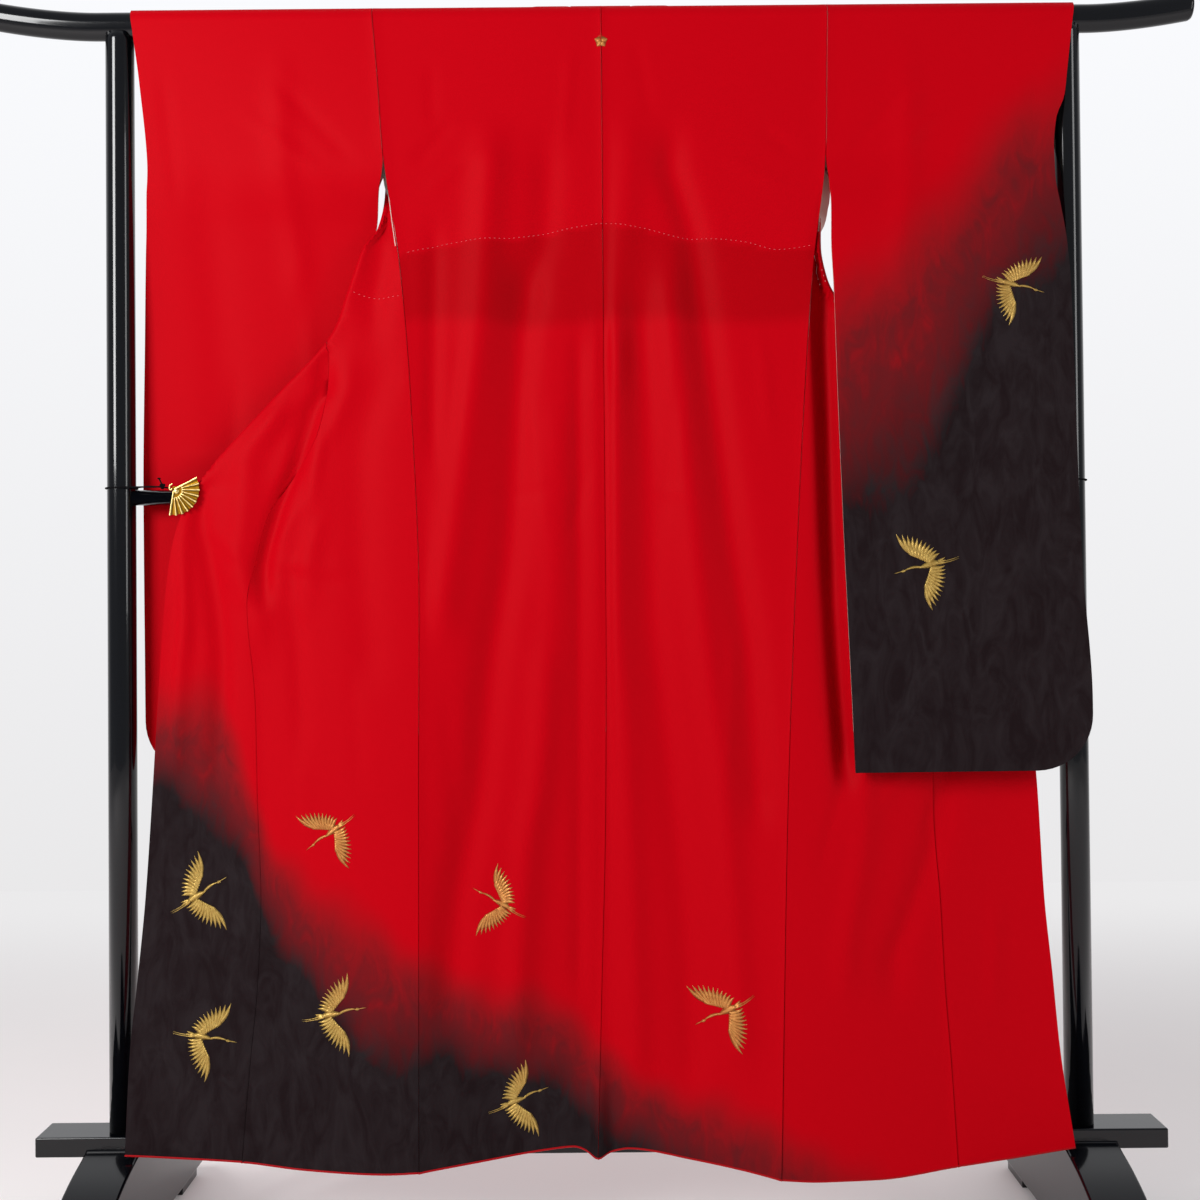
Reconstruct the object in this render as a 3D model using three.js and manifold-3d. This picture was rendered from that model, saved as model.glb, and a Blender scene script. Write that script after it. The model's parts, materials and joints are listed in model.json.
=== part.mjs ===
// A furisode, the long-sleeved formal kimono, hung back outwards on a lacquered kimono stand.
// Millimetres, +Z up, +X to the right of someone who looks at the displayed back, which faces -Y.
// The origin lies on the floor, midway between the two feet.
import * as THREE from 'three';
import Module from 'manifold-3d';
import { mergeVertices } from 'three/addons/utils/BufferGeometryUtils.js';

const wasm = await Module();
wasm.setup();

// ---- driving dimensions: the stand ----
const POST_X = 684;
const POST_R = 20;
const POST_TOP_Z = 1748;
const BAR_Z = 1761;
const BAR_HALF_HEIGHT = 20;
const BAR_HALF_DEPTH = 16;
const BAR_HALF_LENGTH = 868;
const BAR_END_RISE = 17;
const BAR_BEVEL = 6;
const BAR_CURVE_START = 715;
const BAR_CURVE_POWER = 1.7;
const MID_BAR_Z = 1078;
const MID_BAR_R = 11;
const MID_BAR_TENON = 8;
const BOARD_HALF_LENGTH = 800;
const BOARD_HALF_DEPTH = 30;
const BOARD_BOTTOM_Z = 144;
const BOARD_TOP_Z = 172;
const BOARD_EDGE = 2;
const FOOT_X = 689;
const FOOT_HALF_WIDTH = 39;
const FOOT_BOTTOM_Z = 20;
const PAD_LENGTH = 76;
const PAD_INSET = 8;
const PAD_CENTRE_Y = 222;
const FIT_GAP = 0.3;

// ---- driving dimensions: the cloth ----
const CLOTH = 2;
const COLLAR_CLOTH = 4;
const SEAM_GAP = 0.3;
const DRAPE_HALF_HEIGHT = 21.8;
const COLLAR_WIDTH = 55;
const COLLAR_DROP = 55;
const COLLAR_CLEARANCE = 0.4;
const ARMHOLE_Z = 1560;
const HEM_LEVEL = 146;
const HEM_WARP_TOP = 620;
const OKUMI_TOP_Z = 1520;
const SIDE_SEAM_TOP_Z = 1430;
const COLLAR_END_Z = 1108;
const SEAM_CROSSES_FOLD = { left: 1315, right: 1320 };
const SEAM_CROSSING = 70;
const TURN_SEAM_GAP = 1.2;
const TURN_DEPTH = 7;
const FREE_SEAM_GAP = 0.4;
const TOP_Z = 1784;
const MOST_COLLAR_SLANT = 1.7;
const SLEEVE_CORNER_R = 78;
const HEM_ROLL_R = 2;
const HEM_ROLL_END = 0.6;
const FOLD_FADE = 90;
const FOLDS_START_Z = 1740;
const FOLDS_FULL_Z = 1620;
const BACK_HANG_POWER = 1.6;
const SLEEVE_CLOSING = 110;

// ---- driving dimensions: the fan clips and their strings ----
const FAN_X = 601;
const FAN_Z = 1087;
const FAN_Y = -23.3;
const FAN_R = 38;
const FAN_MID_R = 21;
const FAN_HUB_R = 5;
const FAN_HUB_RISE = 1.25;
const FAN_SCALLOP = 2;
const FAN_RIBS = 9;
const FAN_FROM = 25;
const FAN_TO = -95;
const FAN_RIDGE = 3.2;
const FAN_VALLEY = 1.6;
const JAW_Y = -16.8;
const JAW_THICKNESS = 2;
const JAW_REACH = 36;
const JAW_HEEL = 3;
const JAW_BRIDGE = 4;
const JAW_HALF_HEIGHT = 6;
const JAW_Z = 1086;
const STRING_R = 0.9;
const STRING_Z = 1091.5;
const STRING_LOOSENESS = 0.8;

// Half profile of a foot: depth from the middle of the board, and height.
const FOOT_PROFILE = [
  { depth: 31, height: 156 },
  { depth: 50, height: 148 },
  { depth: 90, height: 136 },
  { depth: 134, height: 117 },
  { depth: 190, height: 84 },
  { depth: 240, height: 48 },
  { depth: 270, height: 28 },
];

// Distances from the middle plane where the bar's outline has a section, past the bevelled end.
const BAR_SECTIONS = [864, 838, 820, 790, 760, 735];

// Path of a clip's string on both sides of its turn round the post: distance outwards from the
// fan's hub, depth, and height above the string's own level.
const STRING_LEAD = [
  { out: 19, y: -21, up: 13 },
  { out: 10, y: -22, up: 4 },
  { out: 18, y: -22.5, up: 0 },
  { out: 40, y: -22.5, up: 0 },
];
const STRING_RETURN = [
  { out: 40, y: -16.5, up: 1 },
  { out: 20, y: -18.5, up: 0 },
  { out: 6, y: -19.5, up: -2 },
];
const STRING_TURN_DEGREES = [-90, -130, -170, -210, -250, -290, -325, -348, -368];

// Heights of the rows of corners in every piece of cloth below the bar, closer where the fronts turn.
const CLOTH_LEVELS = [
  1735, 1650, 1605, 1560, 1525, 1490, 1460, 1430, 1400, 1372, 1345, 1320, 1295, 1262, 1220, 1186,
  1155, 1130, 1108, 1078, 1035, 975, 890, 780, 660, 540, 420, 310, 220, 146,
];
const SLEEVE_LEVELS = [1525, 1490, 1460, 1430, 1372, 1295, 1200, 1080, 950, 840];

// The two back panels: their seams from the shoulder to the hem, and how far forward they fall.
const BACK_SECTIONS = [
  { z: 1784, centre: 13, left: -317, right: 338, centreY: -19, leftY: -19, rightY: -19 },
  { z: 1676, centre: 13, left: -308, right: 335, centreY: -21, leftY: -22, rightY: -22 },
  { z: 1560, centre: 13, left: -300, right: 332, centreY: -24, leftY: -26, rightY: -26 },
  { z: 1400, centre: 12.5, left: -276, right: 312, centreY: -27, leftY: -31, rightY: -31 },
  { z: 1210, centre: 12.5, left: -261, right: 296, centreY: -30, leftY: -37, rightY: -37 },
  { z: 920, centre: 12.5, left: -250, right: 278, centreY: -33, leftY: -47, rightY: -48 },
  { z: 645, centre: 10, left: -251, right: 264, centreY: -35, leftY: -60, rightY: -60 },
  { z: 372, centre: 2, left: -251, right: 254, centreY: -38, leftY: -72, rightY: -72 },
  { z: 140, centre: -5, left: -251, right: 246, centreY: -42, leftY: -82, rightY: -84 },
];

// Height of the hem edge across the back.
const BACK_HEM = [
  { x: -251, z: 140 },
  { x: -174, z: 147 },
  { x: -82, z: 157 },
  { x: -40, z: 160 },
  { x: -5, z: 150 },
  { x: 40, z: 157 },
  { x: 127, z: 146 },
  { x: 196, z: 136 },
  { x: 246, z: 127 },
];

// Soft folds of the back. A valley has a positive depth and a ridge a negative one. A path is
// a list of pairs from the top down: height, and place across.
const BACK_FOLDS = [
  { name: 'left blade valley', depth: 5, width: 17,
    path: [[1740, -80], [1565, -84], [1383, -130], [1238, -138], [1142, -160], [923, -188], [572, -222]] },
  { name: 'left blade ridge', depth: -4, width: 15,
    path: [[1590, -126], [1500, -142], [1310, -164], [1240, -166]] },
  { name: 'left skirt ridge', depth: -6, width: 18,
    path: [[1130, -122], [923, -128], [644, -160], [430, -190]] },
  { name: 'left skirt valley', depth: 6, width: 17,
    path: [[960, -56], [644, -50], [536, -77], [400, -118]] },
  { name: 'centre left ridge', depth: -6, width: 16,
    path: [[1230, -22], [644, -20], [572, -34], [400, -38]] },
  { name: 'centre right valley', depth: 6, width: 16,
    path: [[1090, 45], [850, 55], [667, 70], [300, 66]] },
  { name: 'right skirt ridge', depth: -6, width: 18,
    path: [[1130, 100], [923, 105], [815, 133], [463, 146], [290, 170]] },
  { name: 'right blade valley', depth: 6, width: 16,
    path: [[1720, 128], [1530, 143], [1252, 178], [1100, 183], [815, 199], [640, 216], [300, 222]] },
  { name: 'right blade ridge', depth: -5, width: 16,
    path: [[1660, 130], [1530, 160], [1275, 206], [1080, 226]] },
];

// The pinch at the foot of the centre seam, which stands towards the viewer.
const CENTRE_PINCH = { depth: -20, width: 11, top: 420 };

// Each front is seen as a leaf that swings outwards from the side seam. Above the clip it turns
// round a fold and goes back behind, to the edge that carries the collar.
// x values are distances from the middle plane of the stand, outwards.
const LEFT_FRONT = [
  { z: 1784, fold: 0, edge: 88, seam: 86, foldY: 19, edgeY: 19 },
  { z: 1676, fold: 0, edge: 76, seam: 74, foldY: 17, edgeY: 17 },
  { z: 1560, fold: 300, edge: 62, seam: 62, foldY: 12.5, edgeY: 12.5 },
  { z: 1507, fold: 303, edge: 74, seam: 104, foldY: 4, edgeY: 9.5 },
  { z: 1430, fold: 334, edge: 122, seam: 186, foldY: -29, edgeY: 5 },
  { z: 1400, fold: 348, edge: 148, seam: 236, foldY: -28, edgeY: 3 },
  { z: 1315, fold: 375, edge: 222, seam: 375, foldY: -25, edgeY: -3 },
  { z: 1215, fold: 462, edge: 335, seam: 384, foldY: -22, edgeY: -9 },
  { z: 1166, fold: 508, edge: 410, seam: 394, foldY: -21, edgeY: -12 },
  { z: 1102, fold: 564, edge: 564, seam: 432, foldY: -20.5, edgeY: -15.5 },
  { z: 1050, fold: 592, edge: 592, seam: 466, foldY: -22, edgeY: -22 },
  { z: 996, fold: 607, edge: 607, seam: 481, foldY: -22, edgeY: -22 },
  { z: 920, fold: 616, edge: 616, seam: 495, foldY: -23, edgeY: -23 },
  { z: 780, fold: 625, edge: 625, seam: 484, foldY: -26, edgeY: -26 },
  { z: 645, fold: 632, edge: 632, seam: 480, foldY: -31, edgeY: -31 },
  { z: 505, fold: 640, edge: 640, seam: 474, foldY: -37, edgeY: -37 },
  { z: 390, fold: 650, edge: 650, seam: 478, foldY: -42, edgeY: -42 },
  { z: 290, fold: 659, edge: 659, seam: 487, foldY: -47, edgeY: -47 },
  { z: 140, fold: 665, edge: 665, seam: 499, foldY: -53, edgeY: -53 },
];

const RIGHT_FRONT = [
  { z: 1784, fold: 0, edge: 112, seam: 110, foldY: 19, edgeY: 19 },
  { z: 1676, fold: 0, edge: 100, seam: 98, foldY: 17, edgeY: 17 },
  { z: 1560, fold: 332, edge: 86, seam: 86, foldY: 12.5, edgeY: 12.5 },
  { z: 1500, fold: 330, edge: 96, seam: 124, foldY: 4, edgeY: 9.5 },
  { z: 1430, fold: 325, edge: 140, seam: 200, foldY: -29, edgeY: 5 },
  { z: 1380, fold: 334, edge: 176, seam: 262, foldY: -29, edgeY: 2 },
  { z: 1300, fold: 392, edge: 246, seam: 380, foldY: -25, edgeY: -4 },
  { z: 1215, fold: 465, edge: 342, seam: 396, foldY: -22, edgeY: -9 },
  { z: 1166, fold: 512, edge: 415, seam: 408, foldY: -21, edgeY: -12 },
  { z: 1102, fold: 572, edge: 572, seam: 440, foldY: -20.5, edgeY: -15.5 },
  { z: 1050, fold: 594, edge: 594, seam: 468, foldY: -22, edgeY: -22 },
  { z: 996, fold: 603, edge: 603, seam: 478, foldY: -22, edgeY: -22 },
  { z: 920, fold: 607, edge: 607, seam: 484, foldY: -23, edgeY: -23 },
  { z: 780, fold: 613, edge: 613, seam: 474, foldY: -26, edgeY: -26 },
  { z: 645, fold: 621, edge: 621, seam: 471, foldY: -31, edgeY: -31 },
  { z: 505, fold: 626, edge: 626, seam: 477, foldY: -37, edgeY: -37 },
  { z: 390, fold: 635, edge: 635, seam: 481, foldY: -42, edgeY: -42 },
  { z: 290, fold: 642, edge: 642, seam: 487, foldY: -47, edgeY: -47 },
  { z: 140, fold: 661, edge: 661, seam: 494, foldY: -53, edgeY: -53 },
];

const LEFT_FRONT_HEM = [
  { x: 251, z: 140 },
  { x: 301, z: 138 },
  { x: 409, z: 142 },
  { x: 500, z: 150 },
  { x: 590, z: 153 },
  { x: 665, z: 156 },
];
const RIGHT_FRONT_HEM = [
  { x: 246, z: 127 },
  { x: 300, z: 124 },
  { x: 378, z: 124 },
  { x: 495, z: 136 },
  { x: 580, z: 145 },
  { x: 661, z: 156 },
];

const LEFT_FRONT_FOLDS = [
  { name: 'gather to the clip, upper', depth: 4, width: 14,
    path: [[1190, 420], [1150, 470], [1120, 520]] },
  { name: 'tuck under the clip', depth: 6, width: 15,
    path: [[1150, 392], [1067, 408], [1010, 442], [960, 476]] },
  { name: 'ridge beside the tuck', depth: -5, width: 16, path: [[1110, 372], [1040, 372], [960, 392]] },
  { name: 'okumi ridge', depth: -4, width: 20, path: [[1020, 545], [860, 556], [640, 560]] },
];
const RIGHT_FRONT_FOLDS = [
  { name: 'gather to the clip, upper', depth: 4, width: 14,
    path: [[1195, 430], [1150, 476], [1120, 524]] },
  { name: 'tuck under the clip', depth: 5, width: 16, path: [[1150, 400], [1060, 418], [980, 462]] },
  { name: 'skirt valley', depth: 6, width: 20, path: [[760, 500], [641, 486], [497, 440], [420, 408]] },
  { name: 'side ridge', depth: -5, width: 20, path: [[900, 350], [640, 372], [430, 340]] },
];

// Sleeves. The wall that shows is the back one and the wall behind it the front one.
// clear is how far the inner edge stands outwards from the body's side edge, outer the wrist
// edge's distance from the middle plane, y the depth of the back wall, gap the way to the front
// wall, and belly what the gap gains in the middle.
const LEFT_SLEEVE = [
  { z: 1784, clear: 0, outer: 665, innerY: -19, outerY: -19, innerGap: 38, outerGap: 38, belly: 0 },
  { z: 1740, clear: 0, outer: 659, innerY: -20, outerY: -18, innerGap: 38, outerGap: 36, belly: 0 },
  { z: 1676, clear: 0, outer: 652, innerY: -22, outerY: -13, innerGap: 39, outerGap: 28, belly: 1 },
  { z: 1560, clear: 0, outer: 645, innerY: -26, outerY: 0, innerGap: 38.5, outerGap: 10, belly: 3 },
  { z: 1520, clear: 12, outer: 648, innerY: -12, outerY: 6, innerGap: 27, outerGap: 2.3, belly: 6 },
  { z: 1468, clear: 40, outer: 650, innerY: 7, outerY: 10, innerGap: 14, outerGap: 2.3, belly: 9 },
  { z: 1430, clear: 56, outer: 652, innerY: 12, outerY: 13, innerGap: 12, outerGap: 2.3, belly: 11 },
  { z: 1300, clear: 64, outer: 656, innerY: 17, outerY: 19, innerGap: 11, outerGap: 2.3, belly: 13 },
  { z: 1077, clear: 72, outer: 660, innerY: 19, outerY: 22, innerGap: 10, outerGap: 2.3, belly: 14 },
  { z: 800, clear: 74, outer: 659, innerY: 19, outerY: 23, innerGap: 10, outerGap: 2.3, belly: 14 },
  { z: 676, clear: 72, outer: 658, innerY: 20, outerY: 23, innerGap: 10, outerGap: 2.3, belly: 14 },
];
const RIGHT_SLEEVE = [
  { z: 1784, clear: 0, outer: 694, innerY: -19, outerY: -19, innerGap: 38, outerGap: 38, belly: 0 },
  { z: 1752, clear: 0, outer: 688, innerY: -19.5, outerY: -22.5, innerGap: 38, outerGap: 46, belly: 0 },
  { z: 1676, clear: 0, outer: 678, innerY: -22, outerY: -26, innerGap: 39, outerGap: 49, belly: 0 },
  { z: 1640, clear: 0, outer: 673, innerY: -23, outerY: -28, innerGap: 39, outerGap: 50, belly: 0 },
  { z: 1605, clear: 0, outer: 660, innerY: -25, outerY: -30, innerGap: 38.5, outerGap: 44, belly: 0 },
  { z: 1560, clear: 0, outer: 655, innerY: -26, outerY: -34, innerGap: 38.5, outerGap: 26, belly: 2 },
  { z: 1520, clear: 6, outer: 655, innerY: -35, outerY: -38, innerGap: 22, outerGap: 6, belly: 5 },
  { z: 1480, clear: 12, outer: 660, innerY: -47, outerY: -43, innerGap: 14, outerGap: 2.3, belly: 8 },
  { z: 1427, clear: 18, outer: 666, innerY: -56, outerY: -50, innerGap: 12, outerGap: 2.3, belly: 10 },
  { z: 1361, clear: 27, outer: 669, innerY: -60, outerY: -56, innerGap: 13, outerGap: 2.3, belly: 12 },
  { z: 1200, clear: 43, outer: 671, innerY: -66, outerY: -62, innerGap: 15, outerGap: 2.3, belly: 13 },
  { z: 970, clear: 64, outer: 677, innerY: -72, outerY: -64, innerGap: 16, outerGap: 2.3, belly: 13 },
  { z: 780, clear: 81, outer: 688, innerY: -76, outerY: -66, innerGap: 14, outerGap: 2.3, belly: 12 },
  { z: 682, clear: 89, outer: 688, innerY: -78, outerY: -67, innerGap: 8, outerGap: 2.3, belly: 12 },
];
const SLEEVE_FOLDS = [
  { name: 'shoulder fold', depth: -4, width: 20, path: [[1700, 450], [1560, 448], [1420, 430]] },
  { name: 'long soft fold', depth: 3, width: 30, path: [[1500, 560], [1200, 540], [900, 530]] },
];

// ---- number helpers ----
function clamp01(t) {
  return Math.min(1, Math.max(0, t));
}

function smooth(t) {
  const c = clamp01(t);
  return c * c * (3 - 2 * c);
}

// A curve through a table: value of one column at any height, with no overshoot.
function curveOf(rows, argument, value) {
  const sorted = [...rows].sort((a, b) => a[argument] - b[argument]);
  const xs = sorted.map((row) => row[argument]);
  const ys = sorted.map((row) => row[value]);
  const steps = xs.slice(1).map((x, i) => (ys[i + 1] - ys[i]) / (x - xs[i]));
  const slopes = xs.map((_, i) => {
    if (i === 0) return steps[0];
    if (i === xs.length - 1) return steps[i - 1];
    const before = steps[i - 1];
    const after = steps[i];
    return before * after <= 0 ? 0 : (2 * before * after) / (before + after);
  });
  return (x) => {
    if (x <= xs[0]) return ys[0];
    if (x >= xs[xs.length - 1]) return ys[ys.length - 1];
    const i = xs.findIndex((edge, k) => x < xs[k + 1]);
    const span = xs[i + 1] - xs[i];
    const t = (x - xs[i]) / span;
    const rise = ys[i + 1] - ys[i];
    const bend = slopes[i] * span * t * (1 - t) * (1 - t) - slopes[i + 1] * span * t * t * (1 - t);
    return ys[i] + rise * smooth(t) + bend;
  };
}

// How far all folds of a piece push a point at (x, z) away from the viewer.
function foldCurves(folds) {
  return folds.map((fold) => {
    const rows = fold.path.map(([z, x]) => ({ z, x }));
    return { ...fold, top: rows[0].z, bottom: rows[rows.length - 1].z, at: curveOf(rows, 'z', 'x') };
  });
}

function foldOffset(curves, x, z) {
  return curves.reduce((sum, fold) => {
    const fadeIn = smooth((fold.top + FOLD_FADE - z) / FOLD_FADE);
    const fade = fadeIn * smooth((z - fold.bottom + FOLD_FADE) / FOLD_FADE);
    const across = (x - fold.at(z)) / fold.width;
    return sum + fold.depth * fade * Math.exp(-across * across);
  }, 0);
}

// Folds keep clear of a piece's two side edges, and from the upper part that lies on the bar.
function foldWindow(share, startMargin, endMargin) {
  return smooth(share / startMargin) * smooth((1 - share) / endMargin);
}

function belowBar(z) {
  return smooth((FOLDS_START_Z - z) / (FOLDS_START_Z - FOLDS_FULL_Z));
}

// ---- cloth walls ----
// A place down a hanging piece: 0 to 1 goes round the shoulder over the bar, and each further
// 100 mm of height adds 1.
const LEVEL_STEP = 100;
const SHOULDER_START = 0.009;

function placeOf(z) {
  return 1 + (BAR_Z - z) / LEVEL_STEP;
}

function heightAt(place) {
  if (place >= 1) return BAR_Z - (place - 1) * LEVEL_STEP;
  return BAR_Z + DRAPE_HALF_HEIGHT * Math.cos((place * Math.PI) / 2);
}

// Share of the full depth that the cloth has reached on its way round the bar.
function shoulderTurn(place) {
  return place >= 1 ? 1 : Math.sin((place * Math.PI) / 2);
}

// All cloth shares these places, so that edges which meet at a seam have their corners together.
function placesBetween(top, bottom) {
  const SHOULDER_ROWS = [SHOULDER_START, 0.25, 0.5, 0.75, 1];
  const places = [...SHOULDER_ROWS, ...CLOTH_LEVELS.map(placeOf)];
  const SLACK = 0.01;
  return places.filter((place) => heightAt(place) < top + SLACK && heightAt(place) > bottom - SLACK);
}

// Closed wall round a grid of parameter pairs [across, place] on a surface.
function wallGeometry(surface, grid, thickness, stepAcross) {
  const STEP_DOWN = 0.04;
  const sides = [1, -1].map((side) => grid.map((line) => line.map(([across, place]) => {
    const point = surface(across, place);
    const tangent = surface(across + stepAcross, place).sub(surface(across - stepAcross, place));
    const down = surface(across, place + STEP_DOWN).sub(surface(across, Math.max(0, place - STEP_DOWN)));
    const normal = down.cross(tangent).normalize();
    return point.addScaledVector(normal, (side * thickness) / 2);
  })));
  return closedGeometry(sides[0], sides[1]);
}

// Closed solid between two grids of points of the same size.
function closedGeometry(face, reverse) {
  const rows = face.length;
  const columns = face[0].length;
  const count = rows * columns;
  const points = [...face.flat(), ...reverse.flat()];
  const near = (r, c) => r * columns + c;
  const far = (r, c) => count + r * columns + c;
  const triangles = [];
  const quad = (a, b, c, d) => triangles.push(a, b, c, a, c, d);
  for (let r = 0; r < rows - 1; r += 1) {
    for (let c = 0; c < columns - 1; c += 1) {
      quad(near(r, c), near(r, c + 1), near(r + 1, c + 1), near(r + 1, c));
      quad(far(r, c), far(r + 1, c), far(r + 1, c + 1), far(r, c + 1));
    }
    quad(near(r, 0), near(r + 1, 0), far(r + 1, 0), far(r, 0));
    quad(near(r + 1, columns - 1), near(r, columns - 1), far(r, columns - 1), far(r + 1, columns - 1));
  }
  for (let c = 0; c < columns - 1; c += 1) {
    quad(near(0, c + 1), near(0, c), far(0, c), far(0, c + 1));
    quad(near(rows - 1, c), near(rows - 1, c + 1), far(rows - 1, c + 1), far(rows - 1, c));
  }
  if (signedVolume(points, triangles) < 0) triangles.reverse();
  const geometry = new THREE.BufferGeometry().setFromPoints(points);
  geometry.setIndex(triangles);
  return geometry;
}

function signedVolume(points, triangles) {
  let sum = 0;
  for (let i = 0; i < triangles.length; i += 3) {
    const [a, b, c] = [points[triangles[i]], points[triangles[i + 1]], points[triangles[i + 2]]];
    sum += a.dot(b.clone().cross(c)) / 6;
  }
  return sum;
}

// Columns of a table as curves over the height.
function columnCurves(rows) {
  const keys = Object.keys(rows[0]).filter((key) => key !== 'z');
  return Object.fromEntries(keys.map((key) => [key, curveOf(rows, 'z', key)]));
}

// A level near the hem follows the hem's own line.
function warpedZ(level, hemZ) {
  return level + (hemZ - HEM_LEVEL) * smooth((HEM_WARP_TOP - level) / (HEM_WARP_TOP - HEM_LEVEL));
}

// ---- the group and its finishes ----
const furisode = new THREE.Group();
const finishes = {
  silk: { color: 0xc8101c, roughness: 0.5, metalness: 0 },
  darkSilk: { color: 0x251a1c, roughness: 0.5, metalness: 0 },
  hemSilk: { color: 0xe2404a, roughness: 0.5, metalness: 0 },
  lacquer: { color: 0x14161a, roughness: 0.12, metalness: 0 },
  gilt: { color: 0xc9a24a, roughness: 0.35, metalness: 0.9 },
  string: { color: 0x0c0c0e, roughness: 0.8, metalness: 0 },
};

function addPiece(name, geometry, finish) {
  const mesh = new THREE.Mesh(geometry, new THREE.MeshStandardMaterial(finishes[finish]));
  mesh.name = name;
  furisode.add(mesh);
}

// ---- back panels (ushiromigoro) ----
const back = columnCurves(BACK_SECTIONS);
const backHemZ = curveOf(BACK_HEM, 'x', 'z');
const backFoldCurves = foldCurves(BACK_FOLDS);

function backPoint(side, across, place) {
  const level = heightAt(place);
  const sign = side === 'left' ? -1 : 1;
  const width = Math.abs(back[side](level) - back.centre(level));
  const x = back.centre(level) + (sign * across * width);
  const z = place < 1 ? level : warpedZ(level, backHemZ(x));
  const hangShare = Math.max(0, across) ** BACK_HANG_POWER;
  const hang = THREE.MathUtils.lerp(back.centreY(z), back[`${side}Y`](z), hangShare);
  const window = foldWindow(across, 0.06, 0.1) * belowBar(z);
  const pinchAcross = (x - back.centre(level)) / CENTRE_PINCH.width;
  const pinchRise = smooth((CENTRE_PINCH.top - level) / (CENTRE_PINCH.top - HEM_LEVEL)) ** 2;
  const pinch = CENTRE_PINCH.depth * pinchRise * Math.exp(-pinchAcross * pinchAcross);
  const y = shoulderTurn(place) * hang + foldOffset(backFoldCurves, x, z) * window + pinch;
  return new THREE.Vector3(x, y, z);
}

// Shares of a back panel's width where its columns of corners stand, closer at the centre seam.
function backColumns() {
  const COLUMNS = 11;
  const CLOSER_AT_CENTRE = 1.25;
  return Array.from({ length: COLUMNS + 1 }, (_, i) => (i / COLUMNS) ** CLOSER_AT_CENTRE);
}

function backWall(side) {
  const WIDTH = 260;
  const STEP_ACROSS = 0.004;
  const first = SEAM_GAP / 2 / WIDTH;
  const columns = backColumns().map((share) => THREE.MathUtils.lerp(first, 1 - first, share));
  const grid = placesBetween(TOP_Z, HEM_LEVEL).map((place) => columns.map((across) => [across, place]));
  return wallGeometry((across, place) => backPoint(side, across, place), grid, CLOTH, STEP_ACROSS);
}

for (const side of ['left', 'right']) addPiece(`back_${side}`, backWall(side), 'silk');

// ---- fronts (maemigoro) and overlaps (okumi) ----
const fronts = {
  left: {
    sign: -1,
    ...columnCurves(LEFT_FRONT),
    hemZ: curveOf(LEFT_FRONT_HEM, 'x', 'z'),
    folds: foldCurves(LEFT_FRONT_FOLDS),
  },
  right: {
    sign: 1,
    ...columnCurves(RIGHT_FRONT),
    hemZ: curveOf(RIGHT_FRONT_HEM, 'x', 'z'),
    folds: foldCurves(RIGHT_FRONT_FOLDS),
  },
};

// Side edge of the body at a height: its distance outwards and its depth. From the armhole up it
// hangs behind the bar, and from the side opening down it follows the back panel.
function sideEdge(side, z) {
  const x = Math.abs(back[side](z));
  const behind = fronts[side].edgeY(z);
  const before = back[`${side}Y`](z);
  const share = smooth((ARMHOLE_Z - z) / (ARMHOLE_Z - SIDE_SEAM_TOP_Z));
  return { x, y: THREE.MathUtils.lerp(behind, before, share) };
}

// One level of a front, outwards from the side seam: the leaf that shows, the turn, the part behind.
function frontSection(side, z) {
  const front = fronts[side];
  const start = sideEdge(side, z);
  const fold = Math.max(start.x, front.fold(z));
  const leaf = fold - start.x;
  const behind = Math.max(0, fold - front.edge(z));
  const halfGap = Math.max(0, (front.edgeY(z) - front.foldY(z)) / 2);
  const bulge = Math.min(halfGap, TURN_DEPTH, leaf, behind);
  const turn = behind > 0 && bulge > 0 ? (Math.PI * (bulge + halfGap)) / 2 : 0;
  const flat = leaf - bulge;
  const total = flat + turn + behind - (behind > 0 ? bulge : 0);
  const [foldY, edgeY] = [front.foldY(z), front.edgeY(z)];
  return { z, start, fold, bulge, halfGap, flat, turn, total, foldY, edgeY };
}

function sectionPoint(section, s) {
  const { start, fold, bulge, halfGap, flat, turn, foldY, edgeY } = section;
  if (s <= flat && flat > 0) {
    const share = s / flat;
    return { x: start.x + s, y: THREE.MathUtils.lerp(start.y, foldY, smooth(share)), share };
  }
  if (s > flat && s < flat + turn) {
    const angle = (Math.PI * (s - flat)) / turn - Math.PI / 2;
    const x = fold - bulge + bulge * Math.cos(angle);
    return { x, y: foldY + halfGap * (1 + Math.sin(angle)), share: 1 };
  }
  return { x: fold - bulge - (s - flat - turn), y: edgeY, share: 1 };
}

function frontPoint(side, s, place) {
  const front = fronts[side];
  const level = heightAt(place);
  const section = frontSection(side, level);
  const { x, y, share } = sectionPoint(section, s);
  const z = place < 1 ? level : warpedZ(level, front.hemZ(x));
  const depth = shoulderTurn(place) * y + foldOffset(front.folds, x, z) * foldWindow(share, 0.1, 0.08);
  return new THREE.Vector3(front.sign * x, depth, z);
}

// Length from the side seam to the seam between front and okumi, which passes round the turn.
function seamLength(side, section) {
  const seam = fronts[side].seam(section.z);
  const before = Math.min(seam - section.start.x, section.flat);
  const behind = section.flat + section.turn + Math.max(0, section.fold - section.bulge - seam);
  const share = clamp01((section.z - SEAM_CROSSES_FOLD[side] + SEAM_CROSSING / 2) / SEAM_CROSSING);
  return Math.min(section.total, THREE.MathUtils.lerp(before, behind, share));
}

// Half the gap at that seam, a little wider where the seam passes round the turn.
function seamHalfGap(side, z) {
  const near = 1 - Math.min(1, Math.abs(z - SEAM_CROSSES_FOLD[side]) / SEAM_CROSSING);
  return FREE_SEAM_GAP / 2 + TURN_SEAM_GAP * near;
}

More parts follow.
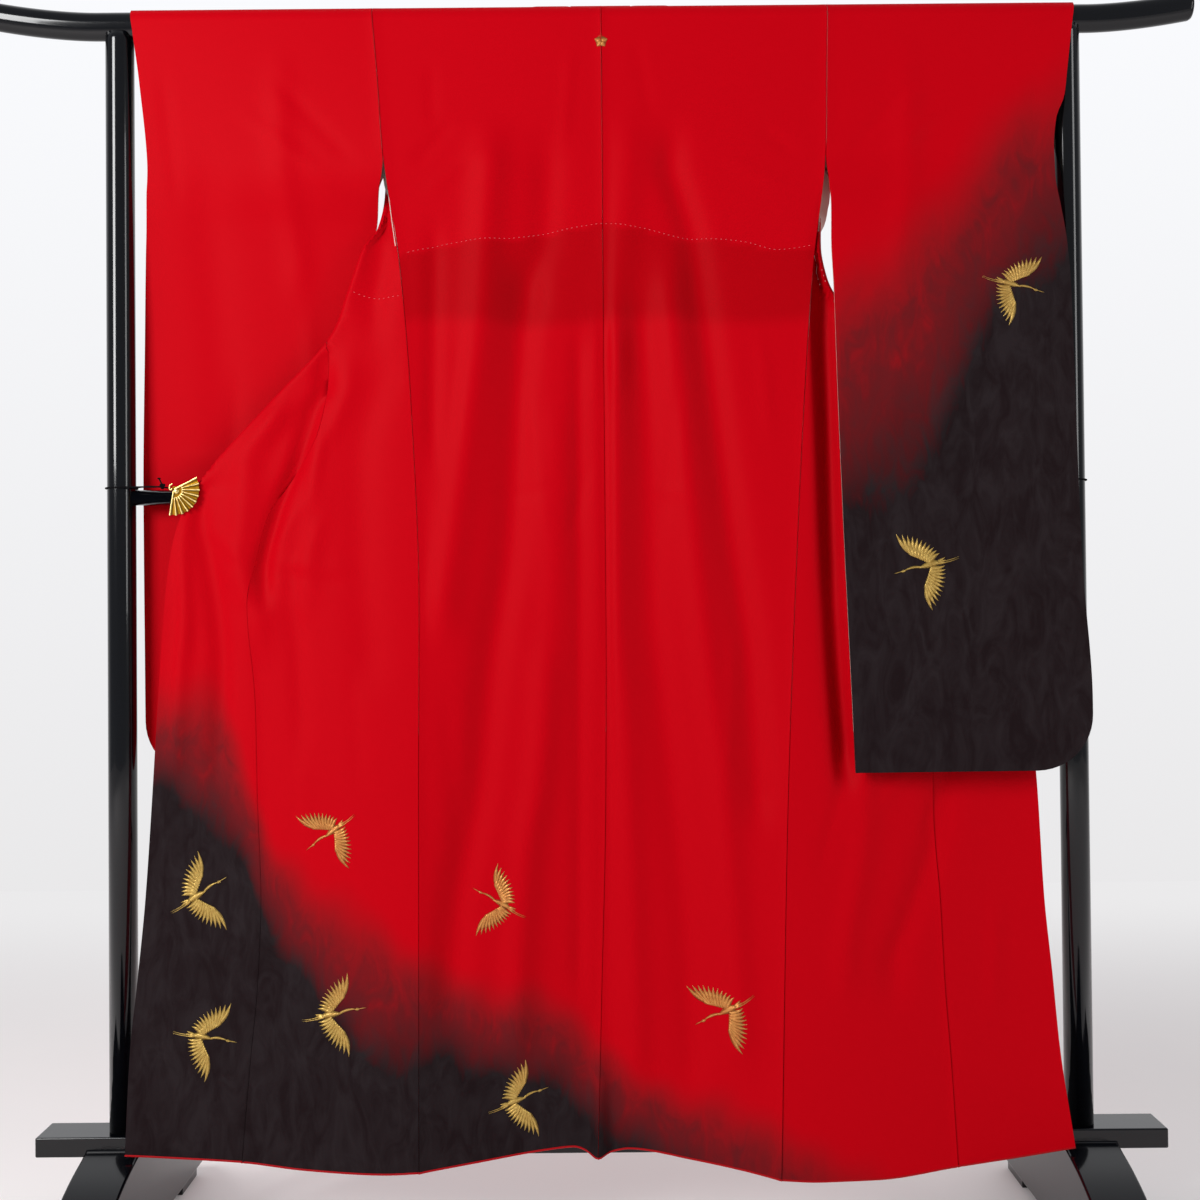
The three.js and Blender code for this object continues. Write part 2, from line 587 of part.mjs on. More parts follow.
// Columns between two lengths, closer together on the turn.
function columnsAlong(section, from, to, count) {
  const TURN_WEIGHT = 150;
  const FULL_TURN = 6;
  const SAMPLES = 240;
  const weightAt = (s) => {
    const share = section.turn > 0 ? clamp01((s - section.flat) / section.turn) : 0;
    return s + TURN_WEIGHT * share * Math.min(1, section.turn / FULL_TURN);
  };
  const lengths = Array.from({ length: SAMPLES + 1 }, (_, i) => from + ((to - from) * i) / SAMPLES);
  const weights = lengths.map(weightAt);
  const span = weights[SAMPLES] - weights[0];
  return Array.from({ length: count + 1 }, (_, i) => {
    if (i === 0) return from;
    if (i === count) return to;
    const goal = weights[0] + (span * i) / count;
    const k = Math.max(1, weights.findIndex((weight) => weight >= goal));
    const share = (goal - weights[k - 1]) / (weights[k] - weights[k - 1]);
    return lengths[k - 1] + (lengths[k] - lengths[k - 1]) * share;
  });
}

function frontWall(side, columns, places, range) {
  const grid = places.map((place) => {
    const section = frontSection(side, heightAt(place));
    const [from, to] = range(side, section);
    return columnsAlong(section, from, to, columns).map((s) => [s, place]);
  });
  return wallGeometry((s, place) => frontPoint(side, s, place), grid, CLOTH, 1);
}

function panelRange(side, section) {
  return [SEAM_GAP / 2, seamLength(side, section) - seamHalfGap(side, section.z)];
}

function okumiRange(side, section) {
  return [seamLength(side, section) + seamHalfGap(side, section.z), section.total];
}

for (const side of ['left', 'right']) {
  addPiece(`front_${side}`, frontWall(side, 11, placesBetween(TOP_Z, HEM_LEVEL), panelRange), 'silk');
  const okumi = frontWall(side, 7, placesBetween(OKUMI_TOP_Z, HEM_LEVEL), okumiRange);
  addPiece(`okumi_${side}`, okumi, side === 'left' ? 'darkSilk' : 'silk');
}

// ---- collar (eri) ----
// The folded band goes on in the plane of each front's edge, from the shoulder to the clip.

function collarPoint(side, across, place) {
  const front = fronts[side];
  const z = heightAt(place);
  const STEP = 8;
  const slope = (front.edge(z + STEP) - front.edge(z - STEP)) / (2 * STEP);
  const width = COLLAR_WIDTH * Math.min(MOST_COLLAR_SLANT, Math.hypot(1, slope));
  const x = front.edge(z) - SEAM_GAP - across * width;
  return new THREE.Vector3(front.sign * x, ...collarDepth(side, place));
}

// Depth and height of the thicker collar band, which lies a little further out than single cloth.
function collarDepth(side, place) {
  const z = heightAt(place);
  const turn = shoulderTurn(place);
  const lift = (COLLAR_CLOTH - CLOTH) / 2 + COLLAR_CLEARANCE;
  return [turn * (fronts[side].edgeY(z) + lift), z + lift * Math.sqrt(1 - turn * turn)];
}

function collarWall(side) {
  const COLUMNS = 2;
  const STEP_ACROSS = 0.05;
  const columns = Array.from({ length: COLUMNS + 1 }, (_, i) => i / COLUMNS);
  const grid = placesBetween(TOP_Z, COLLAR_END_Z).map((place) => columns.map((across) => [across, place]));
  return wallGeometry((across, place) => collarPoint(side, across, place), grid, COLLAR_CLOTH, STEP_ACROSS);
}

// The band behind the neck lies over the bar between the two collar bands.
function neckPoint(across, place) {
  const left = collarPoint('left', 1, place).x + SEAM_GAP;
  const right = collarPoint('right', 1, place).x - SEAM_GAP;
  return new THREE.Vector3(THREE.MathUtils.lerp(left, right, across), ...collarDepth('left', place));
}

function neckBand() {
  const COLUMNS = 5;
  const STEP_ACROSS = 0.02;
  const columns = Array.from({ length: COLUMNS + 1 }, (_, i) => i / COLUMNS);
  const places = placesBetween(TOP_Z, BAR_Z - COLLAR_DROP);
  const grid = places.map((place) => columns.map((across) => [across, place]));
  return wallGeometry(neckPoint, grid, COLLAR_CLOTH, STEP_ACROSS);
}

for (const side of ['left', 'right']) addPiece(`collar_${side}`, collarWall(side), 'silk');
addPiece('collar_neck', neckBand(), 'silk');

// ---- sleeves (sode) ----
const sleeves = {
  left: { sign: -1, bottom: 676, ...columnCurves(LEFT_SLEEVE) },
  right: { sign: 1, bottom: 682, ...columnCurves(RIGHT_SLEEVE) },
};
const sleeveFolds = foldCurves(SLEEVE_FOLDS);

function sleevePoint(side, wall, across, place) {
  const sleeve = sleeves[side];
  const z = heightAt(place);
  const sewn = z >= ARMHOLE_Z;
  const inner = Math.abs(back[side](z)) + sleeve.clear(z) + SEAM_GAP / 2;
  const rise = Math.max(0, sleeve.bottom + SLEEVE_CORNER_R - z);
  const corner = SLEEVE_CORNER_R - Math.sqrt(Math.max(0, SLEEVE_CORNER_R ** 2 - rise ** 2));
  const x = THREE.MathUtils.lerp(inner, sleeve.outer(z) - corner, across);
  const innerY = sewn ? back[`${side}Y`](z) : sleeve.innerY(z);
  const innerGap = sewn ? fronts[side].edgeY(z) - innerY : sleeve.innerGap(z);
  const edge = clamp01(across);
  const window = foldWindow(edge, 0.12, 0.12) * belowBar(z);
  let y = THREE.MathUtils.lerp(innerY, sleeve.outerY(z), edge) + foldOffset(sleeveFolds, x, z) * window;
  if (wall === 'front') {
    const closing = smooth((z - sleeve.bottom) / SLEEVE_CLOSING);
    const belly = sleeve.belly(z) * Math.sin(Math.PI * edge);
    const gap = THREE.MathUtils.lerp(innerGap, sleeve.outerGap(z), edge) + belly;
    y += CLOTH + SEAM_GAP + (gap - CLOTH - SEAM_GAP) * closing;
  }
  return new THREE.Vector3(sleeve.sign * x, shoulderTurn(place) * y, z);
}

function sleeveWall(side, wall) {
  const COLUMNS = 6;
  const CORNER_ROWS = 3;
  const STEP_ACROSS = 0.01;
  const sleeve = sleeves[side];
  const cornerTop = sleeve.bottom + SLEEVE_CORNER_R;
  const corner = Array.from({ length: CORNER_ROWS }, (_, i) => {
    const angle = ((i + 1) / CORNER_ROWS) * (Math.PI / 2);
    return placeOf(cornerTop - SLEEVE_CORNER_R * Math.sin(angle));
  });
  const levels = SLEEVE_LEVELS.map(placeOf);
  const places = [...placesBetween(TOP_Z, ARMHOLE_Z), ...levels, placeOf(cornerTop), ...corner];
  const columns = Array.from({ length: COLUMNS + 1 }, (_, i) => i / COLUMNS);
  const grid = places.map((place) => columns.map((across) => [across, place]));
  return wallGeometry((across, place) => sleevePoint(side, wall, across, place), grid, CLOTH, STEP_ACROSS);
}

for (const side of ['left', 'right']) {
  for (const wall of ['back', 'front']) {
    addPiece(`sleeve_${side}_${wall}`, sleeveWall(side, wall), side === 'left' ? 'silk' : 'darkSilk');
  }
}

// ---- hem rolls (fuki): the lining turned out below each lower edge ----
function tubeAlong(points, radius, sides, steps) {
  const section = new THREE.Shape(Array.from({ length: sides }, (_, i) => {
    const angle = (2 * Math.PI * i) / sides;
    return new THREE.Vector2(radius * Math.cos(angle), radius * Math.sin(angle));
  }));
  const path = new THREE.CatmullRomCurve3(points);
  return new THREE.ExtrudeGeometry(section, { extrudePath: path, steps, bevelEnabled: false });
}

function hemRoll(surface, places) {
  const SIDES = 6;
  const hem = placeOf(HEM_LEVEL);
  const points = places.map((across) => surface(across, hem));
  const rings = points.map((point, i) => {
    const next = points[Math.min(points.length - 1, i + 1)];
    const along = next.clone().sub(points[Math.max(0, i - 1)]).normalize();
    const level = new THREE.Vector3(0, 0, 1).cross(along).normalize();
    const upright = along.clone().cross(level);
    const middle = point.clone().addScaledVector(upright, -(HEM_ROLL_R + SEAM_GAP));
    return Array.from({ length: SIDES }, (_, k) => {
      const angle = (2 * Math.PI * k) / SIDES;
      return middle.clone()
        .addScaledVector(level, HEM_ROLL_R * Math.cos(angle))
        .addScaledVector(upright, HEM_ROLL_R * Math.sin(angle));
    });
  });
  return ringSolid(rings);
}

const BACK_ROLL_FROM = 0.007;
const BACK_ROLL_TO = 0.997;
const FRONT_ROLL_PARTS = 11;
const OKUMI_ROLL_PARTS = 7;

for (const side of ['left', 'right']) {
  const section = frontSection(side, HEM_LEVEL);
  const seam = seamLength(side, section);
  const frontSurface = (s, place) => frontPoint(side, s, place);
  const alongBack = (share) => THREE.MathUtils.lerp(BACK_ROLL_FROM, BACK_ROLL_TO, share);
  const backPlaces = backColumns().map(alongBack);
  addPiece(`fuki_back_${side}`, hemRoll((u, place) => backPoint(side, u, place), backPlaces), 'hemSilk');
  const frontPlaces = columnsAlong(section, HEM_ROLL_END, seam - HEM_ROLL_END, FRONT_ROLL_PARTS);
  addPiece(`fuki_front_${side}`, hemRoll(frontSurface, frontPlaces), 'hemSilk');
  const okumiPlaces = columnsAlong(section, seam + HEM_ROLL_END, section.total, OKUMI_ROLL_PARTS);
  addPiece(`fuki_okumi_${side}`, hemRoll(frontSurface, okumiPlaces), 'hemSilk');
}

// ---- solids joined and cut ----
function solidOf(geometry) {
  const plain = geometry.clone();
  plain.deleteAttribute('normal');
  plain.deleteAttribute('uv');
  const merged = mergeVertices(plain, 1e-4);
  return new wasm.Manifold(new wasm.Mesh({
    numProp: 3,
    vertProperties: new Float32Array(merged.attributes.position.array),
    triVerts: new Uint32Array(merged.index.array),
  }));
}

function geometryOf(solid) {
  const mesh = solid.getMesh();
  const geometry = new THREE.BufferGeometry();
  geometry.setAttribute('position', new THREE.BufferAttribute(mesh.vertProperties, 3));
  geometry.setIndex(new THREE.BufferAttribute(mesh.triVerts, 1));
  return geometry;
}

function cutFrom(geometry, ...cutters) {
  return geometryOf(cutters.reduce((solid, cutter) => solid.subtract(solidOf(cutter)), solidOf(geometry)));
}

// ---- kimono stand (iko) ----
// The bar is oval, straight between the posts, and rises in a curve to its bevelled ends.
function barLift(x) {
  const beyond = Math.max(0, Math.abs(x) - BAR_CURVE_START) / (BAR_HALF_LENGTH - BAR_CURVE_START);
  return BAR_END_RISE * beyond ** BAR_CURVE_POWER;
}

function barGeometry(grow, bevel) {
  const SIDES = 20;
  const outwards = [BAR_HALF_LENGTH, ...BAR_SECTIONS];
  const sections = [...outwards.map((x) => -x), ...[...outwards].reverse()];
  const rings = sections.map((x) => Array.from({ length: SIDES }, (_, i) => {
    const angle = (2 * Math.PI * i) / SIDES;
    const inset = Math.abs(x) === BAR_HALF_LENGTH ? bevel : 0;
    const y = (BAR_HALF_DEPTH + grow - inset) * Math.cos(angle);
    return new THREE.Vector3(x, y, BAR_Z + barLift(x) + (BAR_HALF_HEIGHT + grow - inset) * Math.sin(angle));
  }));
  return ringSolid(rings);
}

// Closed solid through rings of points, with flat ends.
function ringSolid(rings) {
  const sides = rings[0].length;
  const points = rings.flat();
  const triangles = [];
  for (let r = 0; r < rings.length - 1; r += 1) {
    for (let k = 0; k < sides; k += 1) {
      const [a, b] = [r * sides + k, r * sides + ((k + 1) % sides)];
      triangles.push(a, b, b + sides, a, b + sides, a + sides);
    }
  }
  const last = (rings.length - 1) * sides;
  for (let k = 1; k < sides - 1; k += 1) {
    triangles.push(0, k + 1, k, last, last + k, last + k + 1);
  }
  if (signedVolume(points, triangles) < 0) triangles.reverse();
  const geometry = new THREE.BufferGeometry().setFromPoints(points);
  geometry.setIndex(triangles);
  return geometry;
}

function rodAlongX(radius, halfLength) {
  const SIDES = 24;
  return new THREE.CylinderGeometry(radius, radius, 2 * halfLength, SIDES).rotateZ(Math.PI / 2);
}

const MID_BAR_HALF = POST_X - POST_R + MID_BAR_TENON;

function postGeometry(side) {
  const SIDES = 32;
  const height = POST_TOP_Z - BOARD_TOP_Z - FIT_GAP;
  const post = new THREE.CylinderGeometry(POST_R, POST_R, height, SIDES).rotateX(Math.PI / 2);
  post.translate(side * POST_X, 0, BOARD_TOP_Z + FIT_GAP + height / 2);
  const barRoom = barGeometry(FIT_GAP, 0);
  const midRoom = rodAlongX(MID_BAR_R + FIT_GAP, MID_BAR_HALF + FIT_GAP).translate(0, 0, MID_BAR_Z);
  return cutFrom(post, barRoom, midRoom);
}

function boardGeometry(grow) {
  const half = new THREE.Vector2(BOARD_HALF_LENGTH, BOARD_HALF_DEPTH).addScalar(grow - BOARD_EDGE);
  const outline = new THREE.Shape([
    new THREE.Vector2(-half.x, -half.y),
    new THREE.Vector2(half.x, -half.y),
    new THREE.Vector2(half.x, half.y),
    new THREE.Vector2(-half.x, half.y),
  ]);
  const thickness = BOARD_TOP_Z - BOARD_BOTTOM_Z + 2 * grow;
  const board = new THREE.ExtrudeGeometry(outline, {
    depth: thickness - 2 * BOARD_EDGE,
    bevelSize: BOARD_EDGE,
    bevelThickness: BOARD_EDGE,
    bevelSegments: 1,
  });
  return board.translate(0, 0, BOARD_BOTTOM_Z - grow + BOARD_EDGE);
}

function footGeometry(side) {
  const FOOT_EDGE = 3;
  const upper = FOOT_PROFILE.map(({ depth, height }) => [depth - FOOT_EDGE, height - FOOT_EDGE]);
  const bottom = FOOT_BOTTOM_Z + FOOT_EDGE;
  const end = upper[upper.length - 1][0];
  const outline = [
    [-end, bottom],
    [end, bottom],
    ...[...upper].reverse(),
    ...upper.map(([depth, height]) => [-depth, height]),
  ];
  const shape = new THREE.Shape(outline.map(([y, z]) => new THREE.Vector2(y, z)));
  const foot = new THREE.ExtrudeGeometry(shape, {
    depth: 2 * (FOOT_HALF_WIDTH - FOOT_EDGE),
    bevelSize: FOOT_EDGE,
    bevelThickness: FOOT_EDGE,
    bevelSegments: 1,
  });
  foot.translate(0, 0, -(FOOT_HALF_WIDTH - FOOT_EDGE));
  const toFrame = new THREE.Matrix4().makeBasis(
    new THREE.Vector3(0, 1, 0),
    new THREE.Vector3(0, 0, 1),
    new THREE.Vector3(1, 0, 0),
  );
  foot.applyMatrix4(toFrame).translate(side * FOOT_X, 0, 0);
  return cutFrom(foot, boardGeometry(FIT_GAP));
}

addPiece('top_bar', barGeometry(0, BAR_BEVEL), 'lacquer');
addPiece('mid_bar', rodAlongX(MID_BAR_R, MID_BAR_HALF).translate(0, 0, MID_BAR_Z), 'lacquer');
addPiece('base_board', boardGeometry(0), 'lacquer');
for (const [side, sign] of [['left', -1], ['right', 1]]) {
  addPiece(`post_${side}`, postGeometry(sign), 'lacquer');
  addPiece(`foot_${side}`, footGeometry(sign), 'lacquer');
  for (const [end, direction] of [['near', -1], ['far', 1]]) {
    const height = FOOT_BOTTOM_Z - FIT_GAP;
    const pad = new THREE.BoxGeometry(2 * (FOOT_HALF_WIDTH - PAD_INSET), PAD_LENGTH, height);
    pad.translate(sign * FOOT_X, direction * PAD_CENTRE_Y, height / 2);
    addPiece(`foot_pad_${side}_${end}`, pad, 'lacquer');
  }
}

// ---- fan clips and their strings ----
// The pleated fan is the front jaw of a spring clip. The rear jaw lies behind the cloth.
function fanGeometry(sign) {
  const radii = [FAN_HUB_R, FAN_MID_R, FAN_R];
  const rings = radii.map((radius) => Array.from({ length: 2 * FAN_RIBS + 1 }, (_, i) => {
    const angle = THREE.MathUtils.degToRad(THREE.MathUtils.lerp(FAN_FROM, FAN_TO, i / (2 * FAN_RIBS)));
    const raised = i % 2 === 1;
    const r = radius === FAN_R && !raised ? radius - FAN_SCALLOP : radius;
    const rise = radius === FAN_HUB_R ? FAN_HUB_RISE : 1;
    return {
      x: sign * (FAN_X - r * Math.cos(angle)),
      z: FAN_Z + r * Math.sin(angle),
      front: FAN_Y - rise * (raised ? FAN_RIDGE : FAN_VALLEY),
    };
  }));
  const face = rings.map((ring) => ring.map((p) => new THREE.Vector3(p.x, p.front, p.z)));
  const reverse = rings.map((ring) => ring.map((p) => new THREE.Vector3(p.x, FAN_Y, p.z)));
  return closedGeometry(face, reverse);
}

function jawGeometry(sign) {
  const inner = FAN_X - JAW_REACH;
  const outline = [
    [FAN_X + JAW_HEEL, FAN_Y + FIT_GAP],
    [FAN_X - JAW_BRIDGE, FAN_Y + FIT_GAP],
    [FAN_X - JAW_BRIDGE, JAW_Y],
    [inner, JAW_Y],
    [inner, JAW_Y + JAW_THICKNESS],
    [FAN_X + JAW_HEEL, JAW_Y + JAW_THICKNESS],
  ];
  const shape = new THREE.Shape(outline.map(([x, y]) => new THREE.Vector2(sign * x, y)));
  const jaw = new THREE.ExtrudeGeometry(shape, { depth: 2 * JAW_HALF_HEIGHT, bevelEnabled: false });
  return jaw.translate(0, 0, JAW_Z - JAW_HALF_HEIGHT);
}

// The string runs from the clip round the post and back to a knot, with one short free end.
function stringGeometry(sign) {
  const SIDES = 6;
  const STEPS = 36;
  const loop = POST_R + STRING_R + STRING_LOOSENESS;
  const around = STRING_TURN_DEGREES.map((degrees) => {
    const angle = THREE.MathUtils.degToRad(degrees);
    return new THREE.Vector3(sign * (POST_X - loop * Math.cos(angle)), loop * Math.sin(angle), STRING_Z);
  });
  const pointOf = ({ out, y, up }) => new THREE.Vector3(sign * (FAN_X + out), y, STRING_Z + up);
  const route = [...STRING_LEAD.map(pointOf), ...around, ...STRING_RETURN.map(pointOf)];
  return tubeAlong(route, STRING_R, SIDES, STEPS);
}

for (const [side, sign] of [['left', -1], ['right', 1]]) {
  addPiece(`clip_fan_${side}`, fanGeometry(sign), 'gilt');
  addPiece(`clip_jaw_${side}`, jawGeometry(sign), 'gilt');
  addPiece(`clip_string_${side}`, stringGeometry(sign), 'string');
}

export default furisode;
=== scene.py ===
"""Builds the looks of a furisode, the long-sleeved formal kimono, hung back outwards on its stand.

The tables are in millimetres, as a kimono maker and a joiner would write them, and every mesh is
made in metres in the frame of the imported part: +Z up, the displayed back faces -Y.
"""

import json
import math

import bmesh
import bpy
import numpy as np
from mathutils import Matrix, Vector
from mathutils.bvhtree import BVHTree

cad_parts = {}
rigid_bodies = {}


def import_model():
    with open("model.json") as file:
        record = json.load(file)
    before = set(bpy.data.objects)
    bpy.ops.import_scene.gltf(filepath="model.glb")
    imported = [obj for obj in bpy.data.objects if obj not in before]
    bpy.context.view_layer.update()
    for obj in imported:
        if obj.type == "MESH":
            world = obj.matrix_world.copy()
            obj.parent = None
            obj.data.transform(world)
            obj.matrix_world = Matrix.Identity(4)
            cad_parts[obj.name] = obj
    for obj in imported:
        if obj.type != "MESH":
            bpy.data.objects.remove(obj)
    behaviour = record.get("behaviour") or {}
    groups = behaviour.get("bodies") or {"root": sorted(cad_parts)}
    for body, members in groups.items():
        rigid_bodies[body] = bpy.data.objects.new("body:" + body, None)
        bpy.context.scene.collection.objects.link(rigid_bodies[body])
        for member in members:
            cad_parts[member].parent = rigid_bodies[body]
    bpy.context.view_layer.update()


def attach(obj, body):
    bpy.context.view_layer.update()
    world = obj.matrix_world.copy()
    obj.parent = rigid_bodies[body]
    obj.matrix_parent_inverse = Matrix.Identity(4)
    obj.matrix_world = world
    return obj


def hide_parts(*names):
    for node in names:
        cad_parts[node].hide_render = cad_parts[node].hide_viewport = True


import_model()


# ---- Base board and feet ----
# Sawn softwood under black gloss lacquer. The board lies in a slot through each foot, and each
# foot stands on two small square pads.
MM = 0.001
SIDES = {"left": -1, "right": 1}
BOARD = {"half_length": 800, "half_depth": 30, "bottom": 144, "top": 172, "edge": 2.5}
FOOT = {"x": 689, "half_width": 39, "bottom": 20, "edge": 5}
FOOT_PROFILE = [(31, 156), (50, 148), (90, 136), (134, 117), (190, 84), (240, 48), (270, 28)]
PAD = {"half_x": 31, "half_y": 38, "y": 222, "top": 19.7, "edge": 1.5}


def linear(hex_colour):
    """The linear colour, with alpha, of an sRGB hex value."""
    parts = [int(hex_colour[i : i + 2], 16) / 255 for i in (1, 3, 5)]
    return [c / 12.92 if c <= 0.04045 else ((c + 0.055) / 1.055) ** 2.4 for c in parts] + [1]


def add_node(tree, kind, settings=(), inputs=()):
    """A new node of a tree. A value that is a socket is linked, and any other is set."""
    made = tree.nodes.new(kind)
    for name, value in dict(settings).items():
        setattr(made, name, value)
    for socket, value in dict(inputs).items():
        if isinstance(value, bpy.types.NodeSocket):
            tree.links.new(value, made.inputs[socket])
        else:
            made.inputs[socket].default_value = value
    return made


def new_finish(name, **values):
    """A material with its shader, whose sockets are given by their names with _ for a space."""
    material = bpy.data.materials.new(name)
    material.use_nodes = True
    shader = material.node_tree.nodes["Principled BSDF"]
    for socket, value in values.items():
        shader.inputs[socket.replace("_", " ")].default_value = value
    return material, material.node_tree, shader


def new_object(name, data):
    """An object of the scene with these data."""
    made = bpy.data.objects.new(name, data)
    bpy.context.scene.collection.objects.link(made)
    return made


def add_mesh(name, points, faces, *materials, smooth_shaded=True):
    """An object at the origin with this mesh, in metres."""
    mesh = bpy.data.meshes.new(name)
    mesh.from_pydata([tuple(p) for p in points], [], [tuple(f) for f in faces])
    for material in materials:
        mesh.materials.append(material)
    mesh.polygons.foreach_set("use_smooth", [smooth_shaded] * len(mesh.polygons))
    mesh.update()
    return new_object(name, mesh)


def belongs(piece, node=None):
    """Puts a piece on the root body and hides the part that it replaces, if one is named."""
    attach(piece, "root")
    if node:
        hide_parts(node)


def soften_edges(piece, width):
    """Rounds the sharp edges as rubbed-down lacquer has them."""
    bevel = piece.modifiers.new("rubbed edges", "BEVEL")
    bevel.width = width * MM
    bevel.segments = 3
    bevel.limit_method = "ANGLE"
    bevel.angle_limit = math.radians(35)
    bevel.harden_normals = True


def turns_of(count):
    """The angles of count equal steps round a circle."""
    return [2 * math.pi * i / count for i in range(count)]


def extruded(outline, low, high):
    """Corners and faces of a prism: outline is a ring of (y, z), and x runs from low to high."""
    count = len(outline)
    points = [(x, y, z) for x in (low, high) for y, z in outline]
    faces = [tuple(range(count)), tuple(range(2 * count - 1, count - 1, -1))]
    faces += [(i, i + count, (i + 1) % count + count, (i + 1) % count) for i in range(count)]
    return np.array(points) * MM, faces


def facing_out(piece):
    """Turns every face of a closed mesh outwards."""
    mesh = bmesh.new()
    mesh.from_mesh(piece.data)
    bmesh.ops.recalc_face_normals(mesh, faces=mesh.faces)
    mesh.to_mesh(piece.data)
    mesh.free()
    return piece


# Black gloss lacquer over wood, sprayed and polished: a deep near-black with sharp soft-box
# reflections, broken only by a faint waviness of the ground, about 60 mm from crest to crest.
lacquer, tree, shader = new_finish(
    "black_gloss_lacquer",
    Base_Color=linear("#05060A"),
    Roughness=0.12,
    IOR=1.5,
    Specular_IOR_Level=0.3,
    Coat_Weight=0.25,
    Coat_Roughness=0.04,
)
where = add_node(tree, "ShaderNodeTexCoord")
waviness = add_node(
    tree, "ShaderNodeTexNoise", inputs={"Vector": where.outputs["Object"], "Scale": 17, "Detail": 2}
)
bump = add_node(
    tree, "ShaderNodeBump", inputs={"Height": waviness.outputs[0], "Strength": 0.25, "Distance": 0.0006}
)
tree.links.new(bump.outputs[0], shader.inputs["Normal"])


def box_between(name, low, high, material, edge):
    """A block between two corners, in mm, with rubbed edges."""
    outline = [(low[1], low[2]), (high[1], low[2]), (high[1], high[2]), (low[1], high[2])]
    points, faces = extruded(outline, low[0], high[0])
    block = facing_out(add_mesh(name, points, faces, material))
    soften_edges(block, edge)
    return block


def smooth_profile(rows, steps):
    """Points on a round curve through rows of (depth, height)."""
    t = np.linspace(0, 1, len(rows))
    fine = np.linspace(0, 1, steps)
    flat = np.array(rows, float)
    fits = [np.polyfit(t, flat[:, i], 5) for i in (0, 1)]
    return list(zip(*[np.polyval(fit, fine) for fit in fits]))


board = box_between(
    "base_board_lacquered",
    (-BOARD["half_length"], -BOARD["half_depth"], BOARD["bottom"]),
    (BOARD["half_length"], BOARD["half_depth"], BOARD["top"]),
    lacquer,
    BOARD["edge"],
)
belongs(board, "base_board")

for side, sign in SIDES.items():
    upper = smooth_profile(FOOT_PROFILE, 22)
    ends = upper[-1][0]
    outline = [(-ends, FOOT["bottom"]), (ends, FOOT["bottom"])]
    outline += upper[::-1] + [(-y, z) for y, z in upper]
    low, high = sorted((sign * FOOT["x"] - FOOT["half_width"], sign * FOOT["x"] + FOOT["half_width"]))
    foot = facing_out(add_mesh(f"foot_{side}_lacquered", *extruded(outline, low, high), lacquer))
    soften_edges(foot, FOOT["edge"])
    belongs(foot, f"foot_{side}")
    for end, direction in (("near", -1), ("far", 1)):
        x, y = sign * FOOT["x"], direction * PAD["y"]
        pad = box_between(
            f"foot_pad_{side}_{end}_lacquered",
            (x - PAD["half_x"], y - PAD["half_y"], 0),
            (x + PAD["half_x"], y + PAD["half_y"], PAD["top"]),
            lacquer,
            PAD["edge"],
        )
        belongs(pad, f"foot_pad_{side}_{end}")


# ---- Posts, middle rod and top bar ----
# Turned posts and rod, and an oval top bar whose ends are bent upwards in steam and cut square
# with a small bevel. The posts are scribed to the underside of the bar.
POST = {"x": 684, "r": 20, "bottom": 172.3, "top": 1748}
ROD = {"z": 1078, "r": 11, "half": 672}
BAR_Z = 1761
BAR = {"half_height": 20, "half_depth": 16, "half_length": 868, "rise": 17, "bevel": 5}
BAR_BEND = {"from": 715, "power": 1.7}


def tube_through(rings):
    """Corners and faces of a closed solid through rings of the same number of points."""
    sides = len(rings[0])
    points = [p for ring in rings for p in ring]
    faces = []
    for r in range(len(rings) - 1):
        for k in range(sides):
            a, b = r * sides + k, r * sides + (k + 1) % sides
            faces.append((a, b, b + sides, a + sides))
    last = (len(rings) - 1) * sides
    faces.append(tuple(range(sides - 1, -1, -1)))
    faces.append(tuple(range(last, last + sides)))
    return np.array(points) * MM, faces


def bar_lift(x):
    beyond = max(0, abs(x) - BAR_BEND["from"]) / (BAR["half_length"] - BAR_BEND["from"])
    return BAR["rise"] * beyond ** BAR_BEND["power"]


def oval_ring(x, inset, sides=48):
    turn = np.linspace(0, 2 * math.pi, sides, endpoint=False)
    y = (BAR["half_depth"] - inset) * np.cos(turn)
    z = BAR_Z + bar_lift(x) + (BAR["half_height"] - inset) * np.sin(turn)
    return [(x, a, b) for a, b in zip(y, z)]


end_x = BAR["half_length"]
inner_x = end_x - BAR["bevel"]
stations = [(-end_x, BAR["bevel"]), (-end_x + 1.5, 1.5), (-inner_x, 0)]
stations += [(x, 0) for x in np.linspace(-inner_x + 1, -BAR_BEND["from"], 22)]
stations += [(-x, inset) for x, inset in reversed(stations)]
bar_rings = [oval_ring(x, inset) for x, inset in stations]
top_bar = facing_out(add_mesh("top_bar_lacquered", *tube_through(bar_rings), lacquer))
belongs(top_bar, "top_bar")


def scribed_top(y):
    """Height of the post's top end, which fits the underside of the bar."""
    share = min(1, abs(y) / BAR["half_depth"])
    return min(POST["top"], BAR_Z - BAR["half_height"] * math.sqrt(1 - share**2))


def post_ring(sign, r, z, sides=48):
    ring = [(sign * POST["x"] + r * math.cos(t), r * math.sin(t)) for t in turns_of(sides)]
    return [(x, y, scribed_top(y) if z is None else z) for x, y in ring]


for side, sign in SIDES.items():
    heights = [POST["bottom"], 700, 1300, 1738]
    rings = [post_ring(sign, POST["r"], z) for z in heights]
    rings += [post_ring(sign, r, None) for r in (POST["r"], 15, 8, 1)]
    post = facing_out(add_mesh(f"post_{side}_lacquered", *tube_through(rings), lacquer))
    belongs(post, f"post_{side}")

